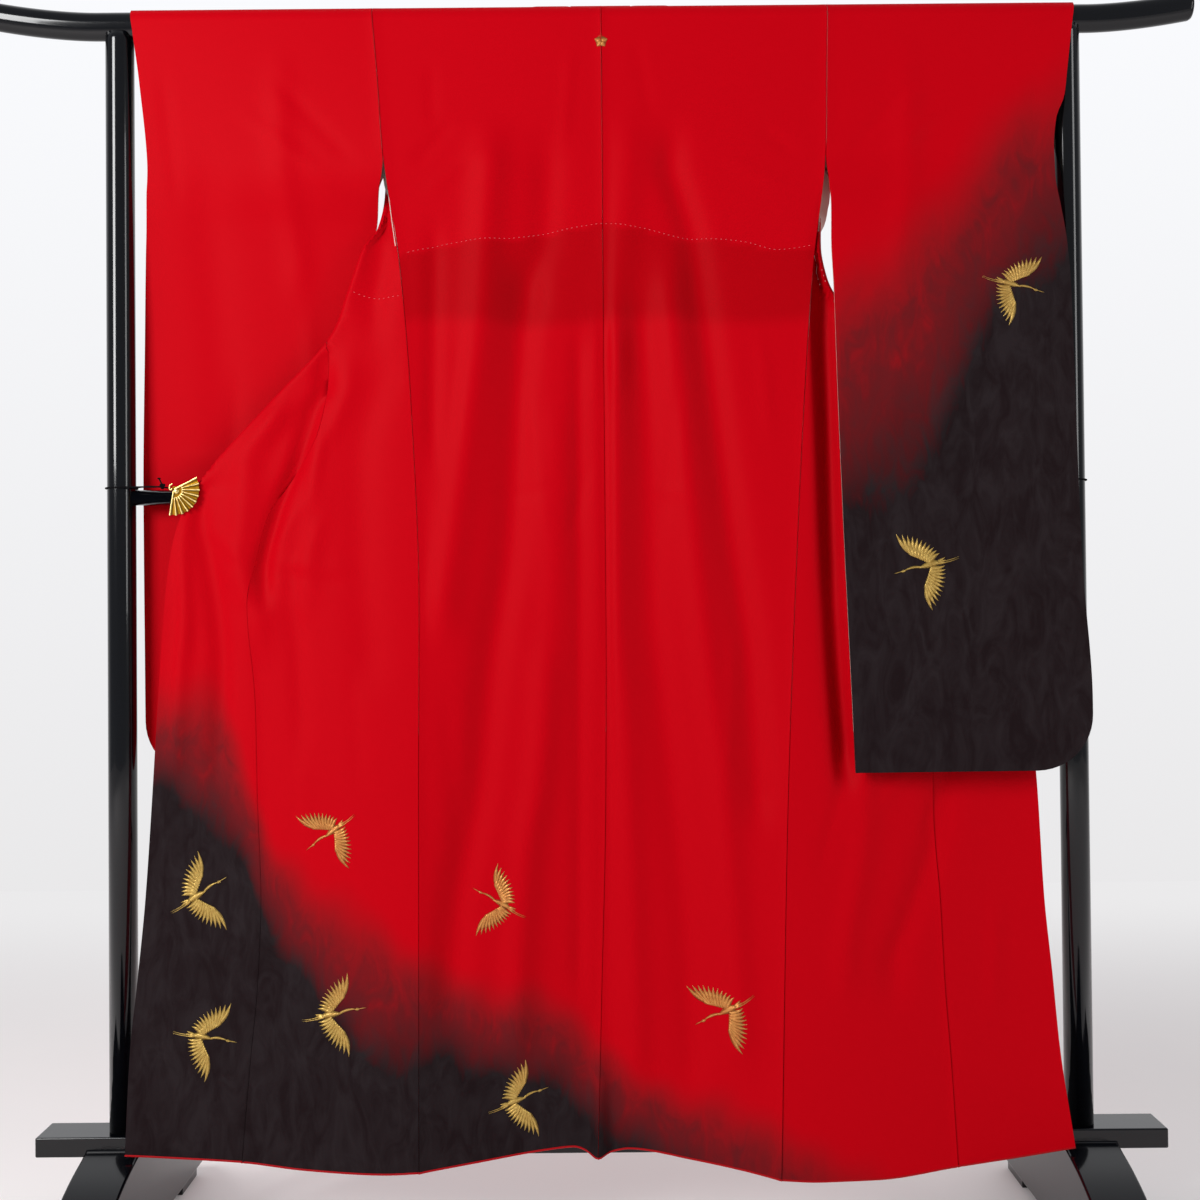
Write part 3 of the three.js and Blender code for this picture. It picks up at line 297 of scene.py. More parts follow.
rod_rings = [
    [(x, ROD["r"] * math.cos(t), ROD["z"] + ROD["r"] * math.sin(t)) for t in turns_of(40)]
    for x in (-ROD["half"], 0, ROD["half"])
]
rod = facing_out(add_mesh("mid_bar_lacquered", *tube_through(rod_rings), lacquer))
belongs(rod, "mid_bar")


# ---- Silk of the furisode ----
# Smooth crepe silk, piece-dyed red and then brushed with black in a long gradation before it was
# sewn, so that the black runs on over the seams. The lining is white above and red at the hem.
def smooth(t):
    """Goes from 0 to 1 with level ends."""
    t = np.clip(t, 0, 1)
    return t * t * (3 - 2 * t)


def mix(a, b, share):
    return a + (b - a) * share


def curve_through(xs, ys):
    """A curve through points in order of x, with no overshoot and level past both ends."""
    xs, ys = np.array(xs, float), np.array(ys, float)
    steps = np.diff(ys) / np.diff(xs)
    slopes = np.concatenate([steps[:1], np.zeros(len(xs) - 2), steps[-1:]])
    before, after = steps[:-1], steps[1:]
    same = before * after > 0
    slopes[1:-1][same] = 2 * before[same] * after[same] / (before + after)[same]

    def at(x):
        x = np.clip(x, xs[0], xs[-1])
        i = np.clip(np.searchsorted(xs, x, side="right") - 1, 0, len(xs) - 2)
        span = xs[i + 1] - xs[i]
        t = (x - xs[i]) / span
        bend = slopes[i] * span * t * (1 - t) ** 2 - slopes[i + 1] * span * t * t * (1 - t)
        return ys[i] + (ys[i + 1] - ys[i]) * smooth(t) + bend

    return at


def curves(columns, *rows):
    """A curve for each named column of a table over its first column."""
    rows = np.array(sorted(rows), float)
    return {name: curve_through(rows[:, 0], rows[:, i]) for i, name in enumerate(columns.split()) if i}


# Heights in mm, over the place across, where the brushed black starts, is half and is full.
DYE_ON_BODY = curves(
    "x starts half full",
    (-700, 840, 760, 640),
    (-609, 795, 727, 666),
    (-573, 794, 721, 632),
    (-538, 780, 715, 609),
    (-510, 715, 659, 586),
    (-455, 580, 541, 457),
    (-420, 541, 490, 418),
    (-378, 501, 440, 373),
    (-322, 473, 400, 305),
    (-281, 438, 383, 288),
    (-225, 415, 366, 293),
    (-169, 385, 340, 270),
    (-113, 372, 325, 268),
    (-57, 348, 300, 243),
    (-15, 310, 258, 195),
    (40, 262, 218, 155),
    (98, 240, 200, 132),
    (152, 223, 173, 100),
    (208, 200, 150, 70),
    (277, 165, 105, 30),
    (356, 130, 60, -20),
    (450, 70, 0, -80),
    (700, -50, -100, -200),
)
DYE_ON_RIGHT_SLEEVE = curves(
    "x starts half full",
    (330, 1325, 1227, 1048),
    (351, 1357, 1250, 1076),
    (401, 1395, 1283, 1089),
    (429, 1413, 1300, 1096),
    (465, 1450, 1344, 1133),
    (500, 1485, 1384, 1217),
    (536, 1534, 1429, 1279),
    (572, 1578, 1479, 1343),
    (607, 1612, 1513, 1374),
    (635, 1627, 1528, 1388),
    (690, 1660, 1564, 1428),
)


def dye_at(table, x, z):
    """Share of black in the dye at a place: 0 red, 1 black."""
    wander = 7 * np.sin(x / 31 + z / 53) + 5 * np.sin(x / 13 - z / 29)
    z = z + wander
    starts, half, full = (table[name](x) for name in ("starts", "half", "full"))
    above = smooth((z - half) / (1.7 * (starts - half)))
    below = smooth((half - z) / (1.6 * (half - full)))
    return np.where(z > half, 0.5 * (1 - above), 0.5 + 0.5 * below)


COLOURS = {"data_type": "RGBA"}


def silk(name, red, wine, black, worn_black):
    """Dyed crepe silk, with painted shade below the back's tuck. Its fine twist of about 0.5 mm is drawn at 2
    mm, so that it shows.
    """
    material, tree, shader = new_finish(
        name,
        Roughness=0.55,
        IOR=1.48,
        Specular_IOR_Level=0.03,
        Sheen_Weight=0.015,
        Sheen_Roughness=0.3,
        Sheen_Tint=linear("#E04040"),
    )
    dye = add_node(tree, "ShaderNodeAttribute", {"attribute_name": "dye"}).outputs["Fac"]
    where = add_node(tree, "ShaderNodeTexCoord").outputs["Object"]
    along = add_node(tree, "ShaderNodeUVMap", {"uv_map": "cloth"}).outputs[0]
    # Plumes of tone on tone, each 30 to 60 mm long, where the black begins and, faintly, all over it.
    squeezed = add_node(
        tree, "ShaderNodeMapping", inputs={0: where, "Rotation": (0, 0.7, 0), "Scale": (34, 20, 14)}
    )
    plumes = add_node(
        tree,
        "ShaderNodeTexNoise",
        inputs={"Vector": squeezed.outputs[0], "Scale": 1, "Detail": 4, "Roughness": 0.62, "Distortion": 1.4},
    )
    brushed = add_node(
        tree, "ShaderNodeMath", {"operation": "MULTIPLY_ADD"}, {0: plumes.outputs[0], 1: 0.34, 2: -0.17}
    )
    edge = add_node(tree, "ShaderNodeMapRange", inputs={0: dye, 1: 0.08, 2: 0.4})
    at_edge = add_node(
        tree, "ShaderNodeMath", {"operation": "MULTIPLY"}, {0: brushed.outputs[0], 1: edge.outputs[0]}
    )
    share = add_node(
        tree, "ShaderNodeMath", {"operation": "ADD", "use_clamp": True}, {0: dye, 1: at_edge.outputs[0]}
    )
    first = add_node(tree, "ShaderNodeMapRange", inputs={0: share.outputs[0], 1: 0.0, 2: 0.55})
    second = add_node(tree, "ShaderNodeMapRange", inputs={0: share.outputs[0], 1: 0.45, 2: 0.9})
    to_wine = add_node(tree, "ShaderNodeMix", COLOURS, {0: first.outputs[0], 6: linear(red), 7: linear(wine)})
    worn = add_node(tree, "ShaderNodeMapRange", inputs={0: plumes.outputs[0], 1: 0.36, 2: 0.66})
    blacks = add_node(
        tree, "ShaderNodeMix", COLOURS, {0: worn.outputs[0], 6: linear(black), 7: linear(worn_black)}
    )
    to_black = add_node(
        tree, "ShaderNodeMix", COLOURS, {0: second.outputs[0], 6: to_wine.outputs[2], 7: blacks.outputs[2]}
    )
    # Painted shade below the stitched tuck on the back: the colour is darkened there by a share that the back
    # lengths carry.
    doubled = add_node(tree, "ShaderNodeAttribute", {"attribute_name": "doubled"}).outputs["Fac"]
    shaded_below_tuck = add_node(
        tree,
        "ShaderNodeMix",
        {**COLOURS, "blend_type": "MULTIPLY"},
        {0: doubled, 6: to_black.outputs[2], 7: (0.82, 0.7, 0.72, 1)},
    )
    tree.links.new(shaded_below_tuck.outputs[2], shader.inputs["Base Color"])
    twist = add_node(tree, "ShaderNodeTexNoise", inputs={"Vector": along, "Scale": 520, "Detail": 1})
    bump = add_node(
        tree, "ShaderNodeBump", inputs={"Height": twist.outputs[0], "Strength": 0.18, "Distance": 0.0004}
    )
    tree.links.new(bump.outputs[0], shader.inputs["Normal"])
    return material


red_silk = silk("dyed_crepe_silk", "#BA000F", "#70151A", "#1D1416", "#272022")

# The lining is plain habutae silk, white in the body and red below, with a soft even sheen.
RED_LINING_BELOW = 0.738
lining, tree, shader = new_finish(
    "plain_silk_lining", Roughness=0.55, Specular_IOR_Level=0.2, Sheen_Weight=0.05
)
where = add_node(tree, "ShaderNodeTexCoord").outputs["Object"]
height = add_node(tree, "ShaderNodeSeparateXYZ", inputs={0: where})
below = add_node(
    tree, "ShaderNodeMath", {"operation": "LESS_THAN"}, {0: height.outputs[2], 1: RED_LINING_BELOW}
)
lining_colour = add_node(
    tree, "ShaderNodeMix", COLOURS, {0: below.outputs[0], 6: linear("#D8CFC4"), 7: linear("#BC0412")}
)
tree.links.new(lining_colour.outputs[2], shader.inputs["Base Color"])

SILK = 1.0
DRAPE_HALF_HEIGHT = 21.8
DRAPE_TOP_Z = 1784
LEVEL_STEP = 100
ARMHOLE_Z = 1560
SIDE_SEAM_TOP_Z = 1430
HEM_LEVEL = 146
HEM_WARP_TOP = 620
FOLD_FADE = 90


def fold_offset(folds, x, z):
    """How far the folds of a piece push it away from someone who looks at the back."""
    total = np.zeros(np.broadcast(x, z).shape)
    for depth, width, path in folds:
        path = sorted(path)
        line = curve_through([p[0] for p in path], [p[1] for p in path])
        fade = smooth((path[-1][0] + FOLD_FADE - z) / FOLD_FADE)
        fade *= smooth((z - path[0][0] + FOLD_FADE) / FOLD_FADE)
        total += depth * fade * np.exp(-(((x - line(z)) / width) ** 2))
    return total


def creases(rows, x, z):
    """Short pulled creases: each row is depth, width, and its two ends as (x, z)."""
    total = np.zeros(np.broadcast(x, z).shape)
    for depth, width, (x0, z0), (x1, z1) in rows:
        length = math.hypot(x1 - x0, z1 - z0)
        ux, uz = (x1 - x0) / length, (z1 - z0) / length
        along = ((x - x0) * ux + (z - z0) * uz) / length
        across = ((x - x0) * uz - (z - z0) * ux) / width
        total += depth * smooth(along / 0.3) * smooth((1 - along) / 0.3) * np.exp(-(across**2))
    return total


def place_of(z):
    """Place down a hanging piece: 0 to 1 goes round the bar, then 1 more for each 100 mm."""
    return 1 + (BAR_Z - z) / LEVEL_STEP


def height_at(place):
    hanging = BAR_Z - (place - 1) * LEVEL_STEP
    on_bar = BAR_Z + DRAPE_HALF_HEIGHT * np.cos(np.clip(place, 0, 1) * math.pi / 2)
    return np.where(place >= 1, hanging, on_bar)


def shoulder_turn(place):
    return np.where(place >= 1, 1, np.sin(np.clip(place, 0, 1) * math.pi / 2))


def rows_between(top, bottom, step=8.0):
    """Places of the rows of a piece, from the fold on the bar or from a height down to another."""
    if top > BAR_Z:
        start = [0.009, *np.linspace(0.08, 1, 13)]
        top = BAR_Z - step
    else:
        start = []
    count = max(2, int(round((top - bottom) / step)) + 1)
    return np.array([*start, *place_of(np.linspace(top, bottom, count))])


def warped(level, hem):
    return level + (hem - HEM_LEVEL) * smooth((HEM_WARP_TOP - level) / (HEM_WARP_TOP - HEM_LEVEL))


def window(share, start, end):
    return smooth(share / start) * smooth((1 - share) / end)


def set_values(piece, name, values):
    """Gives every point of a piece its value of a named measure, which the silk's shader reads."""
    piece.data.attributes.new(name, "FLOAT", "POINT").data.foreach_set("value", values)


def set_flat(piece, name, flat):
    """Gives every point of a piece its place on the flat cloth, in metres, as a UV map."""
    corners = np.zeros(len(piece.data.loops), int)
    piece.data.loops.foreach_get("vertex_index", corners)
    piece.data.uv_layers.new(name=name).data.foreach_set("uv", flat[corners].ravel())


def spots_of(piece):
    """The points of a piece in mm."""
    return np.array([v.co for v in piece.data.vertices]) / MM


def columns_over(places, shares):
    """The same places across for every row."""
    return np.broadcast_to(shares, (len(places), len(shares)))


def shell(name, surface, across, places, sign, dye, inset=None, half=SILK / 2, outer=red_silk, inner=lining):
    """A closed thin wall of cloth on a surface in mm. across is a grid and places a column of its
    parameters, sign tells which way it faces, and inset pushes a column in under its neighbour."""
    places = np.broadcast_to(places, across.shape)
    points = np.stack(surface(across, places), axis=-1) * MM
    down = np.gradient(points, axis=0)
    tangent = np.gradient(points, axis=1)
    outward = sign * np.cross(down, tangent)
    outward /= np.maximum(1e-12, np.linalg.norm(outward, axis=-1, keepdims=True))
    if inset is not None:
        points = points - outward * inset[..., None] * MM
    rows, columns = across.shape
    thickness = np.broadcast_to(half, across.shape)[..., None] * MM
    both = np.concatenate([(points + way * outward * thickness).reshape(-1, 3) for way in (1, -1)])
    index = np.arange(rows * columns).reshape(rows, columns)
    a, b, c, d = index[:-1, :-1], index[:-1, 1:], index[1:, 1:], index[1:, :-1]
    face = np.stack([a, b, c, d], -1).reshape(-1, 4)
    far = rows * columns
    if sign > 0:
        face = face[:, ::-1]
    back = face[:, [0, 3, 2, 1]] + far
    ring = np.concatenate([index[0, :-1], index[:-1, -1], index[-1, :0:-1], index[:0:-1, 0]])
    after = np.roll(ring, -1)
    rim = np.stack([ring, after, after + far, ring + far], -1)
    rim = rim if sign > 0 else rim[:, ::-1]
    piece = add_mesh(name, both, np.concatenate([face, back, rim]), outer, inner)
    slots = np.concatenate([np.zeros(len(face), int), np.ones(len(back), int), np.zeros(len(rim), int)])
    piece.data.polygons.foreach_set("material_index", slots)
    piece.data.set_sharp_from_angle(angle=math.radians(55))
    set_values(piece, "dye", np.tile(dye(points / MM).ravel(), 2))
    lengths = np.linalg.norm(np.diff(points, axis=1), axis=-1)
    u = np.concatenate([np.zeros((rows, 1)), np.cumsum(lengths, axis=1)], axis=1)
    heights = np.linalg.norm(np.diff(points[:, columns // 2], axis=0), axis=-1)
    v = np.broadcast_to(np.concatenate([[0], np.cumsum(heights)])[:, None], u.shape)
    set_flat(piece, "cloth", np.tile(np.stack([u, v], -1).reshape(-1, 2), (2, 1)))
    return piece


# ---- Back lengths (ushiromigoro) ----
# Two full loom widths of silk with the centre back seam between them. They hang over the bar at
# the shoulder and spread towards the hem. A tuck is stitched across them at the waist.
# Below the tuck the silk is darkened with painted shade.
BACK_WIDTH = 260
SEAM_GAP = 0.9
SEAM_LIP = 1.1
LAP = 5.0
LAP_DEPTH = 2.2
BACK = curves(
    "z centre left right centre_y left_y right_y",
    (1784, 13, -317, 338, -19, -19, -19),
    (1676, 13, -308, 335, -21, -22, -22),
    (1560, 13, -300, 332, -24, -26, -26),
    (1400, 12.5, -276, 312, -27, -31, -31),
    (1210, 12.5, -261, 296, -30, -37, -37),
    (920, 12.5, -250, 278, -33, -47, -48),
    (645, 10, -251, 264, -35, -60, -60),
    (372, 2, -251, 254, -38, -72, -72),
    (140, -5, -251, 246, -42, -82, -84),
)
BACK_HEM = curves(
    "x z",
    (-251, 140),
    (-174, 147),
    (-82, 157),
    (-40, 160),
    (-5, 150),
    (40, 157),
    (127, 146),
    (196, 136),
    (246, 127),
)
BACK_FOLDS = [
    (-10.4, 25, [(1540, -148), (1440, -155), (1354, -160), (1183, -180), (1011, -202), (930, -214)]),
    (6.5, 22, [(1530, -66), (1440, -72), (1380, -88)]),
    (11.7, 25, [(1354, -102), (1183, -113), (1011, -124), (840, -150), (668, -168), (497, -200),
                (380, -210)]),
    (5.2, 13, [(1400, -228), (1180, -232)]),
    (-5.2, 22, [(1150, -56), (925, -62), (754, -74), (582, -100), (411, -114), (330, -118)]),
    (-5.2, 24, [(800, -78), (668, -82), (582, -100), (411, -114), (330, -118)]),
    (3.9, 11, [(1250, -24), (800, -26), (420, -30)]),
    (-5.2, 22, [(1560, 50), (1440, 40), (1354, 30), (1269, 27)]),
    (-9.1, 22, [(1269, 27), (925, 25), (754, 36), (582, 42), (411, 46), (300, 48)]),
    (7.8, 23, [(1300, 66), (1097, 75), (925, 77), (754, 94), (582, 112), (411, 124), (300, 128)]),
    (-9.1, 22, [(1354, 106), (1183, 122), (1011, 138), (840, 154), (668, 172), (497, 184), (330, 192)]),
    (10.4, 21, [(1540, 112), (1440, 140), (1354, 152), (1183, 172), (1011, 192), (840, 214), (660, 224)]),
]
CENTRE_PINCH = {"depth": -20, "width": 11, "top": 420}
TUCK = curves(
    "x z",
    (-290, 1414),
    (-276, 1419),
    (-168, 1438),
    (-124, 1440),
    (-77, 1447),
    (-21, 1457),
    (10, 1461),
    (68, 1454),
    (124, 1441),
    (159, 1439),
    (213, 1433),
    (262, 1421),
    (320, 1428),
)
TUCK_SHADE_FOOT = 1322
BACK_CREASES = [
    (2.0, 9, (-262, 1546), (-196, 1610)),
    (-1.6, 8, (-250, 1500), (-150, 1580)),
    (1.8, 9, (296, 1556), (232, 1600)),
    (-1.6, 9, (282, 1506), (180, 1560)),
    (1.4, 8, (-232, 1705), (-228, 1590)),
    (-1.5, 9, (-30, 1730), (-44, 1560)),
    (1.3, 9, (60, 1735), (86, 1600)),
    (1.6, 11, (-186, 1330), (-210, 1120)),
    (-1.8, 10, (232, 1320), (250, 1130)),
    (1.5, 10, (120, 1280), (96, 1010)),
    (-1.6, 12, (-96, 1270), (-70, 990)),
    (1.5, 9, (-10, 1130), (-40, 1000)),
    (1.2, 7, (-200, 1068), (-20, 1084)),
    (-1.2, 8, (30, 1086), (190, 1070)),
    (1.8, 12, (-214, 820), (-196, 560)),
    (-1.5, 11, (196, 900), (176, 640)),
]


def back_surface(side):
    sign = SIDES[side]

    def at(across, place):
        level = height_at(place)
        centre = BACK["centre"](level)
        x = centre + sign * across * np.abs(BACK[side](level) - centre)
        z = np.where(place < 1, level, warped(level, BACK_HEM["z"](x)))
        hang = mix(BACK["centre_y"](z), BACK[side + "_y"](z), np.clip(across, 0, None) ** 1.6)
        clear = window(across, 0.06, 0.1) * smooth((1740 - z) / 120)
        rise = smooth((CENTRE_PINCH["top"] - level) / (CENTRE_PINCH["top"] - HEM_LEVEL)) ** 2
        pinch = CENTRE_PINCH["depth"] * rise * np.exp(-(((x - centre) / CENTRE_PINCH["width"]) ** 2))
        small = creases(BACK_CREASES, x, z) * window(across, 0.03, 0.04)
        tuck_step = -0.9 * np.exp(-(((z - TUCK["z"](x)) / 5) ** 2)) * window(across, 0.02, 0.02)
        lip = -SEAM_LIP * (np.exp(-((across / 0.018) ** 2)) + np.exp(-(((1 - across) / 0.022) ** 2)))
        pulled = fold_offset(BACK_FOLDS, x, z) * clear + pinch + small + tuck_step
        y = shoulder_turn(place) * (hang + lip) + pulled
        return x, y, z

    return at


def body_dye(points):
    return dye_at(DYE_ON_BODY, points[..., 0], points[..., 2])


def with_lap(across, start):
    """Adds a column at the start of every row, pushed in under the neighbour, if start is given."""
    inset = np.zeros(across.shape)
    if start is not None:
        across = np.concatenate([start, across[:, :1], across], axis=1)
        inset = np.concatenate([np.full((len(across), 2), LAP_DEPTH), inset], axis=1)
    return across, inset


for side, sign in SIDES.items():
    first = SEAM_GAP / 2 / BACK_WIDTH
    places = rows_between(DRAPE_TOP_Z, HEM_LEVEL)[:, None]
    shares = mix(first, 1 - first, np.linspace(0, 1, 45) ** 1.15)
    lap = np.full((len(places), 1), -LAP / BACK_WIDTH) if side == "left" else None
    across, inset = with_lap(columns_over(places, shares), lap)
    piece = shell(f"back_{side}_silk", back_surface(side), across, places, sign, body_dye, inset)
    spots = spots_of(piece)
    # Painted shade below the stitched tuck: its share is full just under the tuck line and fades out at the
    # band's soft foot.
    below_tuck = smooth((TUCK["z"](spots[:, 0]) - 1 - spots[:, 2]) / 3)
    foot = TUCK_SHADE_FOOT + 5 * np.sin(spots[:, 0] / 47)
    band = below_tuck * smooth((spots[:, 2] - foot + 14) / 28)
    set_values(piece, "doubled", band)
    belongs(piece, f"back_{side}")


# ---- Fronts (maemigoro) and overlaps (okumi) ----
# Each front goes on from its back over the bar. Below the armhole it is seamed to the back's side
# edge and is turned outwards, so that its right side shows too. The half-width okumi is sewn to it.
OKUMI_TOP_Z = 1520
SEAM_CROSSES_FOLD = {"left": 1315, "right": 1320}
SEAM_CROSSING = 70
TURN_DEPTH = 7
CLEAR_OF_TURN = 2.6
TURN_WEIGHT = 45
FULL_BEHIND = 70
FRONTS = {
    "left": curves(
        "z fold edge seam fold_y edge_y",
        (1784, 0, 88, 86, 19, 19),
        (1676, 0, 76, 74, 17, 17),
        (1560, 300, 62, 62, 12.5, 12.5),
        (1507, 303, 74, 104, 4, 9.5),
        (1460, 311, 102, 156, -20, 6.5),
        (1430, 331, 122, 186, -29, 5),
        (1390, 346, 156, 252, -28, 2.5),
        (1364, 355, 178, 300, -27, 0.5),
        (1315, 373, 222, 375, -25, -3),
        (1215, 462, 335, 384, -22, -9),
        (1166, 508, 410, 394, -21, -12),
        (1102, 564, 564, 432, -20.5, -15.5),
        (1050, 592, 592, 466, -22, -22),
        (996, 607, 607, 481, -22, -22),
        (920, 616, 616, 495, -23, -23),
        (780, 625, 625, 484, -26, -26),
        (645, 632, 632, 480, -31, -31),
        (505, 640, 640, 474, -37, -37),
        (390, 650, 650, 478, -42, -42),
        (290, 659, 659, 487, -47, -47),
        (140, 665, 665, 499, -53, -53),
    ),
    "right": curves(
        "z fold edge seam fold_y edge_y",
        (1784, 0, 112, 110, 19, 19),
        (1676, 0, 100, 98, 17, 17),
        (1560, 332, 86, 86, 12.5, 12.5),
        (1500, 330, 96, 124, 4, 9.5),
        (1430, 325, 140, 200, -29, 5),
        (1380, 334, 176, 262, -29, 2),
        (1300, 392, 246, 380, -25, -4),
        (1215, 465, 342, 396, -22, -9),
        (1166, 512, 415, 408, -21, -12),
        (1102, 572, 572, 440, -20.5, -15.5),
        (1050, 594, 594, 468, -22, -22),
        (996, 603, 603, 478, -22, -22),
        (920, 607, 607, 484, -23, -23),
        (780, 613, 613, 474, -26, -26),
        (645, 621, 621, 471, -31, -31),
        (505, 626, 626, 477, -37, -37),
        (390, 635, 635, 481, -42, -42),
        (290, 642, 642, 487, -47, -47),
        (140, 661, 661, 494, -53, -53),
    ),
}
FRONT_HEM = {
    "left": curves("x z", (251, 140), (301, 138), (409, 142), (500, 150), (590, 153), (665, 156)),
    "right": curves("x z", (246, 127), (300, 124), (378, 124), (495, 136), (580, 145), (661, 156)),
}
FRONT_FOLDS = {
    "left": [
        (10, 12, [(1228, 386), (1197, 402), (1126, 424), (1054, 452), (983, 472)]),
        (-7, 22, [(1180, 462), (1126, 498), (1054, 502), (983, 508), (911, 482)]),
        (-4, 17, [(1228, 352), (1197, 364), (1126, 392), (1054, 396), (983, 408)]),
        (8, 22, [(1452, 300), (1400, 306), (1356, 314)]),
        (4, 26, [(1240, 306), (1126, 334), (983, 332), (860, 322)]),
        (7, 16, [(1050, 566), (983, 552), (911, 540), (840, 534), (720, 538)]),
        (-5, 13, [(1020, 596), (911, 586), (840, 592), (720, 600)]),
        (3, 14, [(930, 432), (860, 424), (760, 418)]),
    ],
    "right": [
        (22, 16, [(1385, 325), (1200, 331), (1000, 334), (880, 338), (720, 347)]),
        (4, 14, [(1195, 430), (1150, 476), (1120, 524)]),
        (5, 16, [(1150, 400), (1060, 418), (980, 462)]),
        (6, 20, [(760, 500), (641, 486), (497, 440), (420, 408)]),
        (-5, 20, [(900, 350), (640, 372), (430, 340)]),
    ],
}
FRONT_CREASES = {
    "left": [
        (-1.2, 7, (604, 1096), (380, 1236)),
        (1.1, 8, (572, 1092), (470, 1088)),
        (-0.9, 8, (560, 1076), (440, 1104)),
        (1.5, 11, (470, 1130), (388, 1240)),
        (1.3, 8, (478, 1042), (404, 1150)),
        (-1.4, 9, (470, 984), (404, 1084)),
        (1.1, 10, (440, 968), (380, 1076)),
        (-1.6, 8, (412, 1040), (388, 1190)),
        (1.0, 9, (396, 1030), (372, 1190)),
        (-1.2, 9, (470, 982), (330, 968)),
        (1.4, 9, (466, 972), (340, 944)),
        (-1.1, 8, (468, 976), (400, 890)),
        (1.2, 8, (486, 1000), (466, 900)),
        (-1.4, 9, (566, 1044), (500, 978)),
        (1.3, 9, (548, 1030), (510, 960)),
        (1.0, 10, (584, 1040), (566, 820)),
        (-1.3, 9, (598, 1060), (612, 900)),
        (0.9, 12, (350, 860), (330, 640)),
        (-0.8, 12, (420, 800), (404, 560)),
        (0.7, 12, (560, 760), (570, 540)),
    ],
    "right": [
        (-2.2, 7, (604, 1096), (400, 1226)),
        (2.0, 8, (572, 1092), (474, 1086)),
        (-2.4, 9, (566, 1044), (500, 966)),
        (2.2, 9, (548, 1030), (508, 950)),
        (2.0, 10, (584, 1040), (566, 820)),
        (-2.2, 9, (470, 984), (404, 1084)),
        (-1.8, 10, (480, 760), (380, 610)),
        (1.8, 9, (498, 700), (452, 580)),
        (1.6, 10, (350, 700), (300, 520)),
        (-1.6, 12, (560, 520), (548, 320)),
    ],
}


# How far the lined edge of each front stands out behind the open armhole.
ARMHOLE_EDGE = curves(
    "z left right",
    (1434, 0, 0),
    (1444, 0, 2),
    (1472, 0, 12),
    (1506, 1, 14),
    (1530, 6, 14),
    (1560, 8, 12),
    (1600, 8, 8),
)


def side_edge(side, z):
    share = smooth((ARMHOLE_Z - z) / (ARMHOLE_Z - SIDE_SEAM_TOP_Z))
    return np.abs(BACK[side](z)), mix(FRONTS[side]["edge_y"](z), BACK[side + "_y"](z), share)


def front_section(side, z):
    """Sizes of one level of a front: the leaf that shows, its turn, and the part behind."""
    front = FRONTS[side]
    start_x, start_y = side_edge(side, z)
    fold = np.maximum(start_x, front["fold"](z))
    fold_y, edge_y = front["fold_y"](z), front["edge_y"](z)
    leaf = fold - start_x
    behind = np.maximum(0, fold - front["edge"](z))
    half_gap = np.maximum(0, (edge_y - fold_y) / 2)
    bulge = np.minimum(np.minimum(half_gap, TURN_DEPTH), np.minimum(leaf, behind))
    turn = np.where((behind > 0) & (bulge > 0), math.pi * (bulge + half_gap) / 2, 0)
    flat = leaf - bulge
    total = flat + turn + behind - np.where(behind > 0, bulge, 0)
    return dict(
        start_x=start_x, start_y=start_y, fold=fold, fold_y=fold_y, edge_y=edge_y, half_gap=half_gap,
        bulge=bulge, turn=turn, flat=flat, behind=behind, total=total,
    )


def front_surface(side):
    sign = SIDES[side]

    def at(s, place):
        level = height_at(place)
        q = front_section(side, level)
        flat, turn = q["flat"], q["turn"]
        on_leaf = (s <= flat) & (flat > 0)
        on_turn = ~on_leaf & (s < flat + turn)
        share = np.where(on_leaf, s / np.maximum(flat, 1e-6), 1)
        angle = math.pi * np.clip((s - flat) / np.maximum(turn, 1e-6), 0, 1) - math.pi / 2
        x_turn = q["fold"] - q["bulge"] * (1 - np.cos(angle))
        x_behind = q["fold"] - q["bulge"] - (s - flat - turn)
        x = np.where(on_leaf, q["start_x"] + s, np.where(on_turn, x_turn, x_behind))
        y_leaf = mix(q["start_y"], q["fold_y"], smooth(share))
        y_turn = q["fold_y"] + q["half_gap"] * (1 + np.sin(angle))
        y = np.where(on_leaf, y_leaf, np.where(on_turn, y_turn, q["edge_y"]))
        open_edge = (s < 0) & (level > SIDE_SEAM_TOP_Z)
        x = np.where(open_edge, q["start_x"] - s, x)
        y = np.where(open_edge, q["edge_y"], y)
        z = np.where(place < 1, level, warped(level, FRONT_HEM[side]["z"](x)))
        clear = window(share, 0.1, 0.08)
        small = creases(FRONT_CREASES[side], x, z) * window(share, 0.04, 0.05)
        to_seam = np.where(level < OKUMI_TOP_Z, seam_length(side, level) - s, 1000)
        groove = SEAM_LIP * np.where(to_seam > 0, -1.0, 0.6) * np.exp(-((to_seam / 5) ** 2))
        small = small + groove * smooth((share - 0.02) / 0.03) * on_leaf
        y = shoulder_turn(place) * y + fold_offset(FRONT_FOLDS[side], x, z) * clear + small
        beside = smooth((FRONTS[side]["edge"](level) - x) / 60)
        limit = q["edge_y"] - CLEAR_OF_TURN + 30 * beside
        held_off = limit - np.logaddexp(0, limit - y)
        y = np.where(on_leaf & (q["turn"] > 0), held_off, y)
        return sign * x, y, z

    return at


def seam_length(side, z):
    """Length from the side seam to the okumi seam, which passes round the turn."""
    q = front_section(side, z)
    seam = FRONTS[side]["seam"](z)
    before = np.minimum(seam - q["start_x"], q["flat"])
    behind = q["flat"] + q["turn"] + np.maximum(0, q["fold"] - q["bulge"] - seam)
    share = np.clip((z - SEAM_CROSSES_FOLD[side] + SEAM_CROSSING / 2) / SEAM_CROSSING, 0, 1)
    return np.minimum(q["total"], mix(before, behind, share))


